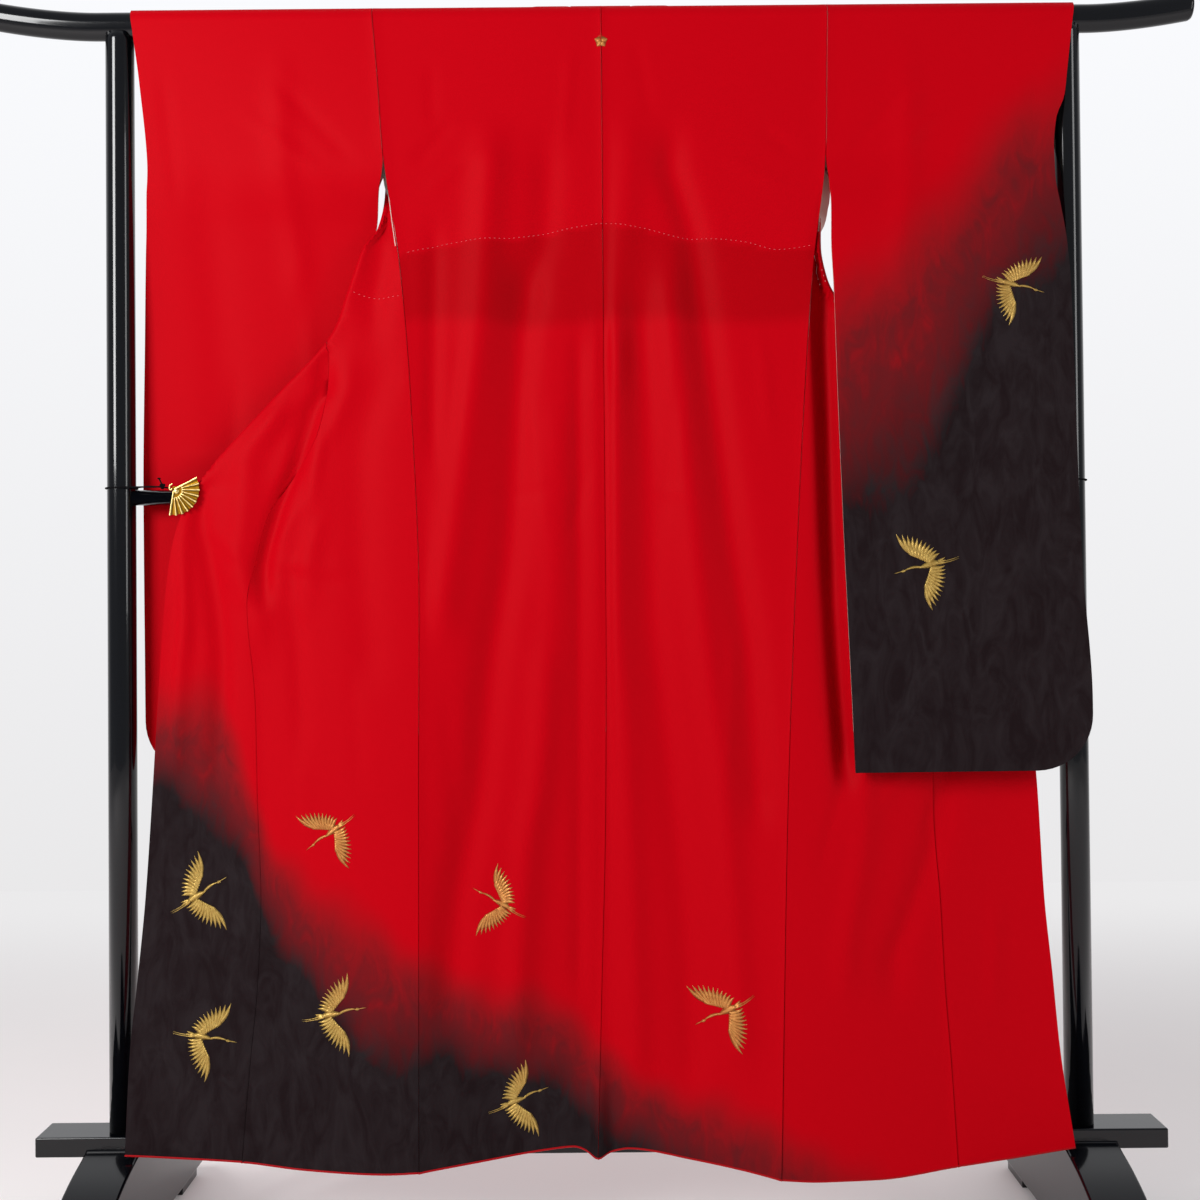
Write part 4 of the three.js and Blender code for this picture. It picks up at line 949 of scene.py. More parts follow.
def columns_along(side, z, start, end, count):
    """Lengths of count columns for every level, closer together on the turn."""
    q = front_section(side, z)
    grid = []
    for i in range(len(z)):
        lengths = np.linspace(start[i], end[i], 241)
        flat, turn = q["flat"][i], q["turn"][i]
        share = np.clip((lengths - flat) / turn, 0, 1) if turn > 0 else 0
        weights = lengths + TURN_WEIGHT * share * min(1, q["behind"][i] / FULL_BEHIND)
        grid.append(np.interp(np.linspace(weights[0], weights[-1], count), weights, lengths))
    return np.array(grid)


for side, sign in SIDES.items():
    surface = front_surface(side)
    places = rows_between(DRAPE_TOP_Z, HEM_LEVEL)
    z = height_at(places)
    seam = seam_length(side, z)
    s = columns_along(side, z, np.full(len(z), SEAM_GAP / 2), seam - SEAM_GAP / 2, 44)
    lap_below = LAP * smooth((SIDE_SEAM_TOP_Z - z) / 20)
    lap = -np.where(z > SIDE_SEAM_TOP_Z, ARMHOLE_EDGE[side](z), lap_below)[:, None]
    s, inset = with_lap(s, lap - 0.2)
    front = shell(f"front_{side}_silk", surface, s, places[:, None], sign, body_dye, inset)
    belongs(front, f"front_{side}")

    places = rows_between(OKUMI_TOP_Z, HEM_LEVEL)
    z = height_at(places)
    q = front_section(side, z)
    s = columns_along(side, z, seam_length(side, z) + SEAM_GAP / 2, q["total"], 30)
    s, inset = with_lap(s, s[:, :1] - LAP)
    okumi = shell(f"okumi_{side}_silk", surface, s, places[:, None], sign, body_dye, inset)
    belongs(okumi, f"okumi_{side}")


# ---- Collar (eri) ----
# A folded band of the same silk, sewn round the neck and down both slanted front edges. It is
# four layers thick with its stiffening, and lies behind, on the side away from the display.
COLLAR = {"width": 55, "drop": 55, "clearance": 0.4, "half": 1.7, "end": 1108, "most_slant": 1.7}
COLLAR_LIFT = 1 + COLLAR["clearance"]


def collar_depth(side, place):
    z, turn = height_at(place), shoulder_turn(place)
    y = turn * (FRONTS[side]["edge_y"](z) + COLLAR_LIFT)
    return y, z + COLLAR_LIFT * np.sqrt(np.clip(1 - turn * turn, 0, 1))


def collar_x(side, across, z):
    edge = FRONTS[side]["edge"]
    slope = (edge(z + 8) - edge(z - 8)) / 16
    width = COLLAR["width"] * np.minimum(COLLAR["most_slant"], np.hypot(1, slope))
    return edge(z) - SEAM_GAP - across * width


def collar_surface(side):
    sign = SIDES[side]
    return lambda across, place: (sign * collar_x(side, across, height_at(place)), *collar_depth(side, place))


def neck_surface(across, place):
    z = height_at(place)
    left, right = -collar_x("left", 1, z) + SEAM_GAP, collar_x("right", 1, z) - SEAM_GAP
    return mix(left, right, across), *collar_depth("left", place)


def rounded_band(columns):
    """Half thickness across a folded band, thin at its two folds."""
    return COLLAR["half"] * np.sqrt(1 - np.clip(np.abs(2 * columns - 1), 0, 0.985) ** 10)


for side, sign in SIDES.items():
    places = rows_between(DRAPE_TOP_Z, COLLAR["end"], 10)[:, None]
    columns = 0.5 - 0.5 * np.cos(np.linspace(0, math.pi, 15))
    across = columns_over(places, columns)
    band = {"half": rounded_band(columns), "inner": red_silk}
    collar = shell(f"collar_{side}_silk", collar_surface(side), across, places, sign, body_dye, **band)
    belongs(collar, f"collar_{side}")

places = rows_between(DRAPE_TOP_Z, BAR_Z - COLLAR["drop"], 10)[:, None]
across = columns_over(places, np.linspace(0, 1, 17))
band = {"half": COLLAR["half"], "inner": red_silk}
neck = shell("collar_neck_silk", neck_surface, across, places, 1, body_dye, **band)
belongs(neck, "collar_neck")


# ---- Sleeves (sode) ----
# One long length each, folded over the bar, so that a back wall hangs before a front wall. They
# are sewn to the body above the armhole and open below it, and their outer lower corner is round.
SLEEVE_WIDTH = 340
SLEEVE_CORNER_R = 78
FRONT_WALL_BACKSET = 6
SLEEVES = {
    "left": curves(
        "z clear outer inner_y outer_y inner_gap outer_gap belly",
        (1784, 0, 665, -19, -19, 38, 38, 0),
        (1740, 0, 659, -20, -18, 38, 36, 0),
        (1676, 0, 652, -22, -13, 39, 28, 1),
        (1560, 0, 645, -26, 0, 38.5, 10, 3),
        (1540, 4, 646, -23.5, 2.5, 34, 4, 4),
        (1520, 12, 648, -17, 5, 27, 2.3, 6),
        (1468, 28, 650, 5, 10, 14, 2.3, 9),
        (1430, 44, 652, 11, 13, 12, 2.3, 11),
        (1300, 64, 656, 17, 19, 11, 2.3, 13),
        (1077, 72, 660, 19, 22, 10, 2.3, 14),
        (800, 74, 659, 19, 23, 10, 2.3, 14),
        (676, 72, 658, 20, 23, 10, 2.3, 14),
    ),
    "right": curves(
        "z clear outer inner_y outer_y inner_gap outer_gap belly",
        (1784, 0, 694, -19, -19, 38, 38, 0),
        (1752, 0, 688, -19.5, -22.5, 38, 46, 0),
        (1676, 0, 678, -22, -26, 39, 49, 0),
        (1640, 0, 673, -23, -28, 39, 50, 0),
        (1605, 0, 660, -25, -30, 38.5, 44, 0),
        (1560, 0, 655, -26, -34, 38.5, 26, 2),
        (1520, 6, 655, -35, -38, 22, 6, 5),
        (1480, 12, 660, -47, -43, 14, 2.3, 8),
        (1427, 18, 666, -56, -50, 12, 2.3, 10),
        (1361, 27, 669, -60, -56, 13, 2.3, 12),
        (1200, 43, 671, -66, -62, 15, 2.3, 13),
        (970, 64, 677, -72, -64, 16, 2.3, 13),
        (780, 81, 688, -76, -66, 14, 2.3, 12),
        (682, 89, 688, -78, -67, 8, 2.3, 12),
    ),
}
SLEEVE_BOTTOM = {"left": 676, "right": 682}
SLEEVE_FOLDS = [
    (-4, 20, [(1700, 450), (1560, 448), (1420, 430)]),
    (3, 30, [(1500, 560), (1200, 540), (900, 530)]),
]
SLEEVE_CREASES = {
    "left": [
        (1.8, 9, (330, 1540), (470, 1690)),
        (-1.8, 9, (340, 1500), (520, 1640)),
        (1.5, 10, (620, 1700), (600, 1480)),
        (-1.6, 12, (420, 1380), (400, 1060)),
        (1.5, 12, (520, 1300), (540, 960)),
        (-1.3, 9, (350, 1130), (640, 1140)),
    ],
    "right": [
        (1.8, 9, (350, 1540), (480, 1690)),
        (-1.8, 9, (360, 1500), (520, 1640)),
        (1.5, 10, (640, 1700), (610, 1500)),
        (-1.6, 12, (430, 1380), (410, 1100)),
        (1.5, 12, (560, 1300), (570, 960)),
        (-1.2, 8, (356, 905), (680, 912)),
    ],
}


def sleeve_surface(side, wall):
    sleeve, bottom = SLEEVES[side], SLEEVE_BOTTOM[side]
    sign = SIDES[side]

    def at(across, place):
        z = height_at(place)
        sewn = z >= ARMHOLE_Z
        inner = np.abs(BACK[side](z)) + sleeve["clear"](z) + SEAM_GAP / 2
        if wall == "front":
            inner = inner + FRONT_WALL_BACKSET * smooth((ARMHOLE_Z - z) / 30)
        rise = np.clip(bottom + SLEEVE_CORNER_R - z, 0, SLEEVE_CORNER_R)
        corner = SLEEVE_CORNER_R - np.sqrt(SLEEVE_CORNER_R**2 - rise**2)
        x = mix(inner, sleeve["outer"](z) - corner, across)
        inner_y = np.where(sewn, BACK[side + "_y"](z), sleeve["inner_y"](z))
        inner_gap = np.where(sewn, FRONTS[side]["edge_y"](z) - inner_y, sleeve["inner_gap"](z))
        edge = np.clip(across, 0, 1)
        clear = window(edge, 0.12, 0.12) * smooth((1740 - z) / 120)
        y = mix(inner_y, sleeve["outer_y"](z), edge) + fold_offset(SLEEVE_FOLDS, x, z) * clear
        if wall == "front":
            closing = smooth((z - bottom) / 110)
            gap = mix(inner_gap, sleeve["outer_gap"](z), edge) + sleeve["belly"](z) * np.sin(math.pi * edge)
            y = y + 2 + SEAM_GAP + (gap - 2 - SEAM_GAP) * closing
        else:
            lip = -SEAM_LIP * np.exp(-((across * SLEEVE_WIDTH / 6) ** 2)) * smooth((z - ARMHOLE_Z) / 20)
            y = y + creases(SLEEVE_CREASES[side], x, z) * window(edge, 0.05, 0.05) + lip
        return sign * x, shoulder_turn(place) * y, z

    return at


def sleeve_dye(side):
    def at(points):
        if side == "left":
            return np.zeros(points.shape[:-1])
        return dye_at(DYE_ON_RIGHT_SLEEVE, points[..., 0], points[..., 2])

    return at


for side, sign in SIDES.items():
    bottom = SLEEVE_BOTTOM[side]
    straight = rows_between(DRAPE_TOP_Z, bottom + SLEEVE_CORNER_R)
    angles = np.linspace(0, math.pi / 2, 13)[1:]
    rounded = place_of(bottom + SLEEVE_CORNER_R * (1 - np.sin(angles)))
    places = np.concatenate([straight, rounded])[:, None]
    z = height_at(places)
    for wall, outward in (("back", sign), ("front", -sign)):
        lap = -(LAP / SLEEVE_WIDTH) * smooth((z - ARMHOLE_Z) / 12) - 0.0005
        across, inset = with_lap(columns_over(places, np.linspace(0, 1, 46)), lap)
        surface, dye = sleeve_surface(side, wall), sleeve_dye(side)
        sleeve = shell(f"sleeve_{side}_{wall}_silk", surface, across, places, outward, dye, inset)
        belongs(sleeve, f"sleeve_{side}_{wall}")


# ---- Hem rolls (fuki) ----
# The red lining is turned out below every lower edge as a padded roll about 3 mm thick, so that
# the hem shows a thin bright line under the dyed silk.
HEM_ROLL = {"r": 1.5, "end": -0.4, "overlap": 1.0}
hem_silk = new_finish(
    "red_hem_silk",
    Base_Color=linear("#A4060F"),
    Roughness=0.5,
    Specular_IOR_Level=0.1,
    Sheen_Weight=0.05,
)[0]


def hem_roll(name, surface, places):
    hem = np.full(len(places), place_of(HEM_LEVEL))
    line = np.stack(surface(np.array(places), hem), -1)
    along = np.gradient(line, axis=0)
    along /= np.linalg.norm(along, axis=1, keepdims=True)
    level = np.cross([0, 0, 1], along)
    level /= np.linalg.norm(level, axis=1, keepdims=True)
    upright = np.cross(along, level)
    middle = line - upright * (HEM_ROLL["r"] - HEM_ROLL["overlap"])
    rings = [
        [m + HEM_ROLL["r"] * (math.cos(t) * a + math.sin(t) * b) for t in turns_of(10)]
        for m, a, b in zip(middle, level, upright)
    ]
    return facing_out(add_mesh(name, *tube_through(rings), hem_silk))


# The length of each front to its okumi seam and its whole length, at the hem, in mm.
for side in ("left", "right"):
    level = np.array([float(HEM_LEVEL)])
    seam = float(seam_length(side, level)[0])
    total = float(front_section(side, level)["total"][0])
    rolls = [
        ("back", back_surface(side), np.linspace(-0.003, 1.003, 60)),
        ("front", front_surface(side), np.linspace(0, seam - HEM_ROLL["end"], 60)),
        ("okumi", front_surface(side), np.linspace(seam + HEM_ROLL["end"], total, 46)),
    ]
    for part, surface, places in rolls:
        roll = hem_roll(f"fuki_{part}_{side}_silk", surface, places)
        belongs(roll, f"fuki_{part}_{side}")


# ---- Tuck stitches (age) ----
# A running stitch of red silk thread holds the tuck across the back and on over the left front.
# Only the short outer part of each stitch shows, every 7 mm or so.
STITCH = {"every": 7.0, "length": 2.4, "thread": 0.35}
FRONT_TUCK = [(-262, 1360), (-285, 1359), (-306, 1357), (-328, 1361), (-342, 1366)]

thread_silk, tree, shader = new_finish("red_silk_thread", Roughness=0.4, Sheen_Weight=0.3)
where = add_node(tree, "ShaderNodeTexCoord").outputs["Object"]
twist = add_node(tree, "ShaderNodeTexNoise", inputs={"Vector": where, "Scale": 900})
shade = add_node(
    tree, "ShaderNodeMix", COLOURS, {0: twist.outputs[0], 6: linear("#D23A44"), 7: linear("#E8707A")}
)
tree.links.new(shade.outputs[2], shader.inputs["Base Color"])


def gathered(solids):
    """Corners and faces of several solids as those of one mesh."""
    points, faces = [], []
    for corners, sides in solids:
        first = len(points)
        points += list(corners)
        faces += [tuple(first + i for i in side) for side in sides]
    return points, faces


def displayed_cloth():
    """A search tree over all the cloth, which tells the depth of what shows at a place."""
    solids = []
    for piece in bpy.context.scene.objects:
        if piece.name.endswith("_silk") and not piece.name.startswith("fuki"):
            corners = [tuple(v.co) for v in piece.data.vertices]
            solids.append((corners, [face.vertices for face in piece.data.polygons]))
    return BVHTree.FromPolygons(*gathered(solids))


cloth_tree = displayed_cloth()


def on_cloth(x, z, lift):
    """The point in mm that lies lift before the cloth which shows at (x, z)."""
    hit = cloth_tree.ray_cast(Vector((x * MM, -0.4, z * MM)), Vector((0, 1, 0)))[0]
    return (x, hit.y / MM - lift, z)


def stitching_tree():
    """Stitches along a line: a short thick thread for every step."""
    tree = bpy.data.node_groups.new("running_stitch", "GeometryNodeTree")
    face = tree.interface
    face.new_socket("Geometry", in_out="INPUT", socket_type="NodeSocketGeometry")
    for name in ("Every", "Length", "Thread"):
        face.new_socket(name, in_out="INPUT", socket_type="NodeSocketFloat")
    face.new_socket("Geometry", in_out="OUTPUT", socket_type="NodeSocketGeometry")
    given = add_node(tree, "NodeGroupInput").outputs
    line = add_node(tree, "GeometryNodeMeshToCurve", inputs={0: given["Geometry"]})
    every = {"Curve": line.outputs[0], "Length": given["Every"]}
    steps = add_node(tree, "GeometryNodeCurveToPoints", {"mode": "LENGTH"}, every)
    ball = add_node(tree, "GeometryNodeMeshUVSphere", inputs={"Segments": 8, "Rings": 6, "Radius": 1.0})
    size = add_node(
        tree, "ShaderNodeCombineXYZ", inputs={0: given["Thread"], 1: given["Thread"], 2: given["Length"]}
    )
    stitch = add_node(
        tree, "GeometryNodeTransform", inputs={"Geometry": ball.outputs[0], "Scale": size.outputs[0]}
    )
    each = {"Points": steps.outputs[0], "Instance": stitch.outputs[0], "Rotation": steps.outputs["Rotation"]}
    laid = add_node(tree, "GeometryNodeInstanceOnPoints", inputs=each)
    real = add_node(tree, "GeometryNodeRealizeInstances", inputs={0: laid.outputs[0]})
    finished = add_node(
        tree, "GeometryNodeSetMaterial", inputs={"Geometry": real.outputs[0], "Material": thread_silk}
    )
    out = add_node(tree, "NodeGroupOutput")
    tree.links.new(finished.outputs[0], out.inputs[0])
    return tree


running_stitch = stitching_tree()


def stitched(name, path):
    """Stitches along a path of points in mm, as a plain mesh."""
    points = np.array(path) * MM
    line = bpy.data.meshes.new(name + "_line")
    line.from_pydata([tuple(p) for p in points], [(i, i + 1) for i in range(len(points) - 1)], [])
    guide = new_object(name + "_guide", line)
    sewing = guide.modifiers.new("stitches", "NODES")
    sewing.node_group = running_stitch
    items = running_stitch.interface.items_tree
    sockets = {item.name: item.identifier for item in items if item.in_out == "INPUT"}
    sewing[sockets["Every"]] = STITCH["every"] * MM
    sewing[sockets["Length"]] = STITCH["length"] / 2 * MM
    sewing[sockets["Thread"]] = STITCH["thread"] * MM
    bpy.context.view_layer.update()
    graph = bpy.context.evaluated_depsgraph_get()
    mesh = bpy.data.meshes.new_from_object(guide.evaluated_get(graph))
    made = new_object(name, mesh)
    bpy.data.objects.remove(guide)
    return made


back_line = [on_cloth(x, float(TUCK["z"](x)), 0.15) for x in np.arange(-264, 309, 3.0)]
front_curve = curve_through([p[0] for p in FRONT_TUCK[::-1]], [p[1] for p in FRONT_TUCK[::-1]])
front_line = [on_cloth(x, float(front_curve(x)), 0.15) for x in np.arange(-342, -276, 3.0)]
for name, line in (("tuck_stitches_back", back_line), ("tuck_stitches_front", front_line)):
    belongs(stitched(name, line))


# ---- Gold cranes and rosette ----
# Flying cranes in couched gold thread, a traditional sign of long life, sewn on over the dye.
# Each wing is a fan of feathers over a row of short ones, and a small rosette sits at the neck.
CRANES = [
    ("okumi_upper", -566, 512, 0.92, 28, 1),
    ("okumi_lower", -556, 318, 0.9, -12, 1),
    ("front_upper", -372, 604, 0.82, 40, -1),
    ("front_lower", -372, 352, 0.9, 8, 1),
    ("back_left_upper", -138, 500, 0.82, -24, -1),
    ("back_left_lower", -118, 226, 0.86, 16, 1),
    ("back_right", 176, 352, 0.9, 34, -1),
    ("sleeve_upper", 585, 1362, 0.86, -20, 1),
    ("sleeve_lower", 462, 968, 0.92, 18, -1),
]
WING = {"arm": 24, "feathers": 11, "first": 74, "last": 158, "long": 40, "short": 22, "width": 7.6}
COVERTS = {"arm": 22, "feathers": 8, "first": 84, "last": 148, "long": 17, "short": 12, "width": 6.6}
ARM_ANGLE = 62
ROSETTE = {"x": 12.6, "z": 1725.6, "petals": 5, "r": 9.6, "petal_width": 10.5}
THREAD_RISE = 0.55

gold_thread, tree, shader = new_finish("couched_gold_thread", Metallic=0.55, Roughness=0.42)
dye = add_node(tree, "ShaderNodeAttribute", {"attribute_name": "dye"}).outputs["Fac"]
where = add_node(tree, "ShaderNodeTexCoord").outputs["Object"]
worn = add_node(tree, "ShaderNodeTexNoise", inputs={"Vector": where, "Scale": 160, "Detail": 3})
on_red, on_black = (
    add_node(tree, "ShaderNodeMix", COLOURS, {0: worn.outputs[0], 6: linear(dull), 7: linear(bright)})
    for dull, bright in (("#B4602A", "#DCA458"), ("#A07C34", "#D8B866"))
)
gold = add_node(tree, "ShaderNodeMix", COLOURS, {0: dye, 6: on_red.outputs[2], 7: on_black.outputs[2]})
tree.links.new(gold.outputs[2], shader.inputs["Base Color"])
# Threads lie side by side across each feather; real ones are 0.3 mm wide, and these are 0.8 mm.
along = add_node(tree, "ShaderNodeUVMap", {"uv_map": "thread"}).outputs[0]
lanes = add_node(
    tree, "ShaderNodeTexWave", {"bands_direction": "Y"}, {"Vector": along, "Scale": 200, "Distortion": 1.0}
)
bump = add_node(
    tree, "ShaderNodeBump", inputs={"Height": lanes.outputs[0], "Strength": 0.5, "Distance": 0.0003}
)
tree.links.new(bump.outputs[0], shader.inputs["Normal"])


def feather(start, angle, length, width, bend=0.0, stations=8):
    """Sections of one pointed patch of thread: its two edges and its middle, in mm."""
    t = np.linspace(0, 1, stations)
    direction = math.radians(angle)
    ahead = np.array([math.cos(direction), math.sin(direction)])
    aside = np.array([-ahead[1], ahead[0]])
    middle = np.array(start) + np.outer(t * length, ahead) + np.outer(4 * bend * t * (1 - t), aside)
    half = width / 2 * np.clip(np.sin(math.pi * (0.08 + 0.9 * t) ** 0.8), 0.06, 1)
    return [(m - h * aside, m, m + h * aside, lane) for m, h, lane in zip(middle, half, t * length)]


def spread(root, table, mirror, lift):
    """Feathers of one wing from the front one to the rear one."""
    rows = []
    for i in range(table["feathers"]):
        share = i / (table["feathers"] - 1)
        angle = mirror * (mix(table["first"], table["last"], share) + lift)
        length = mix(table["long"], table["short"], share**0.7)
        out, turn = table["arm"] * (1 - share), math.radians(ARM_ANGLE + lift)
        start = (root[0] - 7 * share + out * math.cos(turn), mirror * (root[1] + out * math.sin(turn)))
        rows.append(feather(start, angle, length, table["width"], bend=-mirror * 2.5))
    return rows


def crane():
    """All patches of a crane that flies along +x, as (sections, height of the patch)."""
    far = spread((6, 3), WING, 1, -4)
    near = spread((6, 3), WING, -1, 10)
    patches = [(rows, 0.5 + 0.05 * i) for wing in (far, near) for i, rows in enumerate(wing)]
    for mirror, lift in ((1, -4), (-1, 10)):
        patches += [(rows, 1.3) for rows in spread((6, 2), COVERTS, mirror, lift)]
    patches += [(feather((-10, 0), 180 + turn, 17, 5), 0.9) for turn in (-14, 0, 14)]
    patches += [(feather((-14, side), 184, 34, 1.4, bend=1.5), 0.6) for side in (-1.2, 1.2)]
    patches.append((feather((-16, 0), 2, 32, 11, bend=1), 1.7))
    patches.append((feather((10, 0.5), 6, 32, 4.2, bend=3), 1.2))
    patches.append((feather((37, 4), 4, 8, 4.4), 1.6))
    patches.append((feather((43, 4.6), 2, 12, 1.5), 0.9))
    return patches


def rosette():
    turns = [90 + 360 * i / ROSETTE["petals"] for i in range(ROSETTE["petals"])]
    patches = [(feather((0, 0), turn, ROSETTE["r"], ROSETTE["petal_width"]), 0.7) for turn in turns]
    patches += [(feather((0, 0), turn + 36, 5, 1.6), 1.3) for turn in turns]
    return patches


def embroidered(name, patches, place, size, turn, flip, dye):
    """Lays patches of thread on the cloth at a place in mm."""
    cosine, sine = math.cos(math.radians(turn)), math.sin(math.radians(turn))

    def laid(spot, lift):
        u, v = size * flip * spot[0], size * spot[1]
        return on_cloth(place[0] + u * cosine - v * sine, place[1] + u * sine + v * cosine, lift)

    solids, lanes_at = [], []
    for sections, height in patches:
        rise = THREAD_RISE * height
        rings = []
        for low, middle, high, lane in sections:
            rings.append([laid(low, 0.2), laid(middle, 0.35 + rise), laid(high, 0.2), laid(middle, 0.1)])
            lanes_at += [(lane * size, a * size * np.linalg.norm(high - low)) for a in (0, 0.5, 1, 0.5)]
        solids.append(tube_through(rings))
    piece = facing_out(add_mesh(name, *gathered(solids), gold_thread))
    set_flat(piece, "thread", np.array(lanes_at) * MM)
    set_values(piece, "dye", dye(spots_of(piece)))
    belongs(piece)


for name, x, z, size, turn, flip in CRANES:
    dye = sleeve_dye("right") if name.startswith("sleeve") else body_dye
    embroidered("crane_" + name, crane(), (x, z), size, turn, flip, dye)
embroidered("rosette_at_neck", rosette(), (ROSETTE["x"], ROSETTE["z"]), 1.0, 0, 1, body_dye)


# ---- Fan clips and their strings ----
# A cast and gilded folding fan is the front jaw of a spring clip, and a flat jaw lies behind the
# cloth. A thin black string runs from the clip round the post and back, and is knotted there.
FAN = {"x": 601, "y": -23.3, "z": 1087, "r": 37, "leaf": 12.5, "ribs": 9, "first": 27, "last": -99}
GUARD_R = 1.35
CURL = [(-2, 8), (-5, 6.5), (-6, 2.5), (-4.5, -0.5), (-2.2, 1.5)]
JAW = {"y": -16.8, "thickness": 2, "reach": 36, "heel": 3, "bridge": 4, "half_height": 6, "z": 1086}
STRING = {"r": 1.1, "z": 1091.5, "loose": 0.8, "knot": 1.6}
STRING_LEAD = [(22, -22, 12), (19, -22.4, 6), (16, -22.8, 1), (24, -22.6, 0), (40, -22.5, 0)]
STRING_TURNS = [-90, -130, -170, -210, -250, -290, -325, -348, -368]
STRING_RETURN = [(40, -16.5, 1), (20, -18.5, 0), (6, -19.5, -2)]

# Cast metal, gilded and rubbed: the ridges shine and the grooves between them stay darker. The
# relief is told by the depth in metres, from the floor of the grooves to the top of the ridges.
RELIEF = {"low": -0.0249, "high": -0.0268}
gilt, tree, shader = new_finish("gilded_cast_metal", Metallic=1.0, Roughness=0.3)
where = add_node(tree, "ShaderNodeTexCoord").outputs["Object"]
depth = add_node(tree, "ShaderNodeSeparateXYZ", inputs={0: where})
relief = add_node(
    tree, "ShaderNodeMapRange", inputs={0: depth.outputs[1], 1: RELIEF["low"], 2: RELIEF["high"]}
)
toned = add_node(
    tree, "ShaderNodeMix", COLOURS, {0: relief.outputs[0], 6: linear("#8C6418"), 7: linear("#FFE396")}
)
tree.links.new(toned.outputs[2], shader.inputs["Base Color"])
grain = add_node(tree, "ShaderNodeTexNoise", inputs={"Vector": where, "Scale": 700, "Detail": 2})
bump = add_node(
    tree, "ShaderNodeBump", inputs={"Height": grain.outputs[0], "Strength": 0.3, "Distance": 0.0003}
)
tree.links.new(bump.outputs[0], shader.inputs["Normal"])

# Braided black cord of about 2 mm; its plait is too fine to show and is drawn as a light grain.
cord_finish, tree, shader = new_finish(
    "black_plaited_cord", Base_Color=linear("#060508"), Roughness=0.8, Specular_IOR_Level=0.1
)
where = add_node(tree, "ShaderNodeTexCoord").outputs["Object"]
plait = add_node(tree, "ShaderNodeTexNoise", inputs={"Vector": where, "Scale": 1100, "Detail": 1})
bump = add_node(
    tree, "ShaderNodeBump", inputs={"Height": plait.outputs[0], "Strength": 0.6, "Distance": 0.0003}
)
tree.links.new(bump.outputs[0], shader.inputs["Normal"])


def through(points, steps):
    """A smooth path through points in space."""
    points = np.array(points, float)
    lengths = np.concatenate([[0], np.cumsum(np.linalg.norm(np.diff(points, axis=0), axis=1))])
    at = np.linspace(0, lengths[-1], steps)
    tangents = np.gradient(points, lengths, axis=0)
    i = np.clip(np.searchsorted(lengths, at, side="right") - 1, 0, len(points) - 2)
    span = (lengths[i + 1] - lengths[i])[:, None]
    t = (at - lengths[i])[:, None] / span
    out = (2 * t**3 - 3 * t**2 + 1) * points[i] + (t**3 - 2 * t**2 + t) * span * tangents[i]
    return out + (3 * t**2 - 2 * t**3) * points[i + 1] + (t**3 - t**2) * span * tangents[i + 1]


def rings_along(path, radius, sides=10):
    """Rings of a round tube along a path, without twist."""
    along = np.gradient(path, axis=0)
    along /= np.linalg.norm(along, axis=1, keepdims=True)
    side = np.cross(along[0], [0.3, 0.5, 0.81])
    rings = []
    for point, ahead in zip(path, along):
        side = side - ahead * np.dot(side, ahead)
        side /= np.linalg.norm(side)
        up = np.cross(ahead, side)
        rings.append([point + radius * (math.cos(t) * side + math.sin(t) * up) for t in turns_of(sides)])
    return rings


def joined_solids(name, solids, material, smooth_shaded=True):
    """One mesh of several closed solids, each given as corners and faces."""
    return facing_out(add_mesh(name, *gathered(solids), material, smooth_shaded=smooth_shaded))


def fan_leaf(sign):
    """The pleated plate of the fan, closed by its flat reverse."""
    radii = [2, 7, *(FAN["leaf"] + step for step in (-1.6, -0.8, 0, 0.9)), 17, 24, 31, 35.5, FAN["r"]]
    steps = 12 * FAN["ribs"]
    front, reverse = [], []
    for r in radii:
        row, flat = [], []
        for i in range(steps + 1):
            angle = math.radians(mix(FAN["first"], FAN["last"], i / steps))
            ridge = smooth(1.5 - abs(math.sin(math.pi * i / 12)) * 1.9)
            reach = r if r < FAN["r"] else r - 1.5 * (1 - ridge)
            if r < FAN["leaf"] - 1:
                rise = 1.5
            elif r <= FAN["leaf"]:
                rise = 3.1
            else:
                rise = 1.4 + 1.9 * ridge
            x, z = FAN["x"] - reach * math.cos(angle), FAN["z"] + reach * math.sin(angle)
            row.append((sign * x, FAN["y"] - rise, z))
            flat.append((sign * x, FAN["y"], z))
        front.append(row)
        reverse.append(flat)
    columns, rows = steps + 1, len(radii)
    points = [p for row in front for p in row] + [p for row in reverse for p in row]
    far = rows * columns
    faces = []
    for r in range(rows - 1):
        for c in range(columns - 1):
            a = r * columns + c
            faces += [(a, a + 1, a + 1 + columns, a + columns)]
            faces += [(far + a, far + a + columns, far + a + 1 + columns, far + a + 1)]
    edge = list(range(columns)) + [r * columns + columns - 1 for r in range(1, rows)]
    edge += [(rows - 1) * columns + c for c in range(columns - 2, -1, -1)]
    edge += [r * columns for r in range(rows - 2, 0, -1)]
    faces += [(a, a + far, b + far, b) for a, b in zip(edge, edge[1:] + edge[:1])]
    return np.array(points) * MM, faces


def fan_spot(sign, u, v, depth):
    return (sign * (FAN["x"] - u), FAN["y"] - depth, FAN["z"] + v)


def guard(sign, degrees):
    angle = math.radians(degrees)
    ends = [fan_spot(sign, r * math.cos(angle), r * math.sin(angle), 2.2) for r in (1, 12, 24, FAN["r"])]
    return tube_through(rings_along(through(ends, 12), GUARD_R))


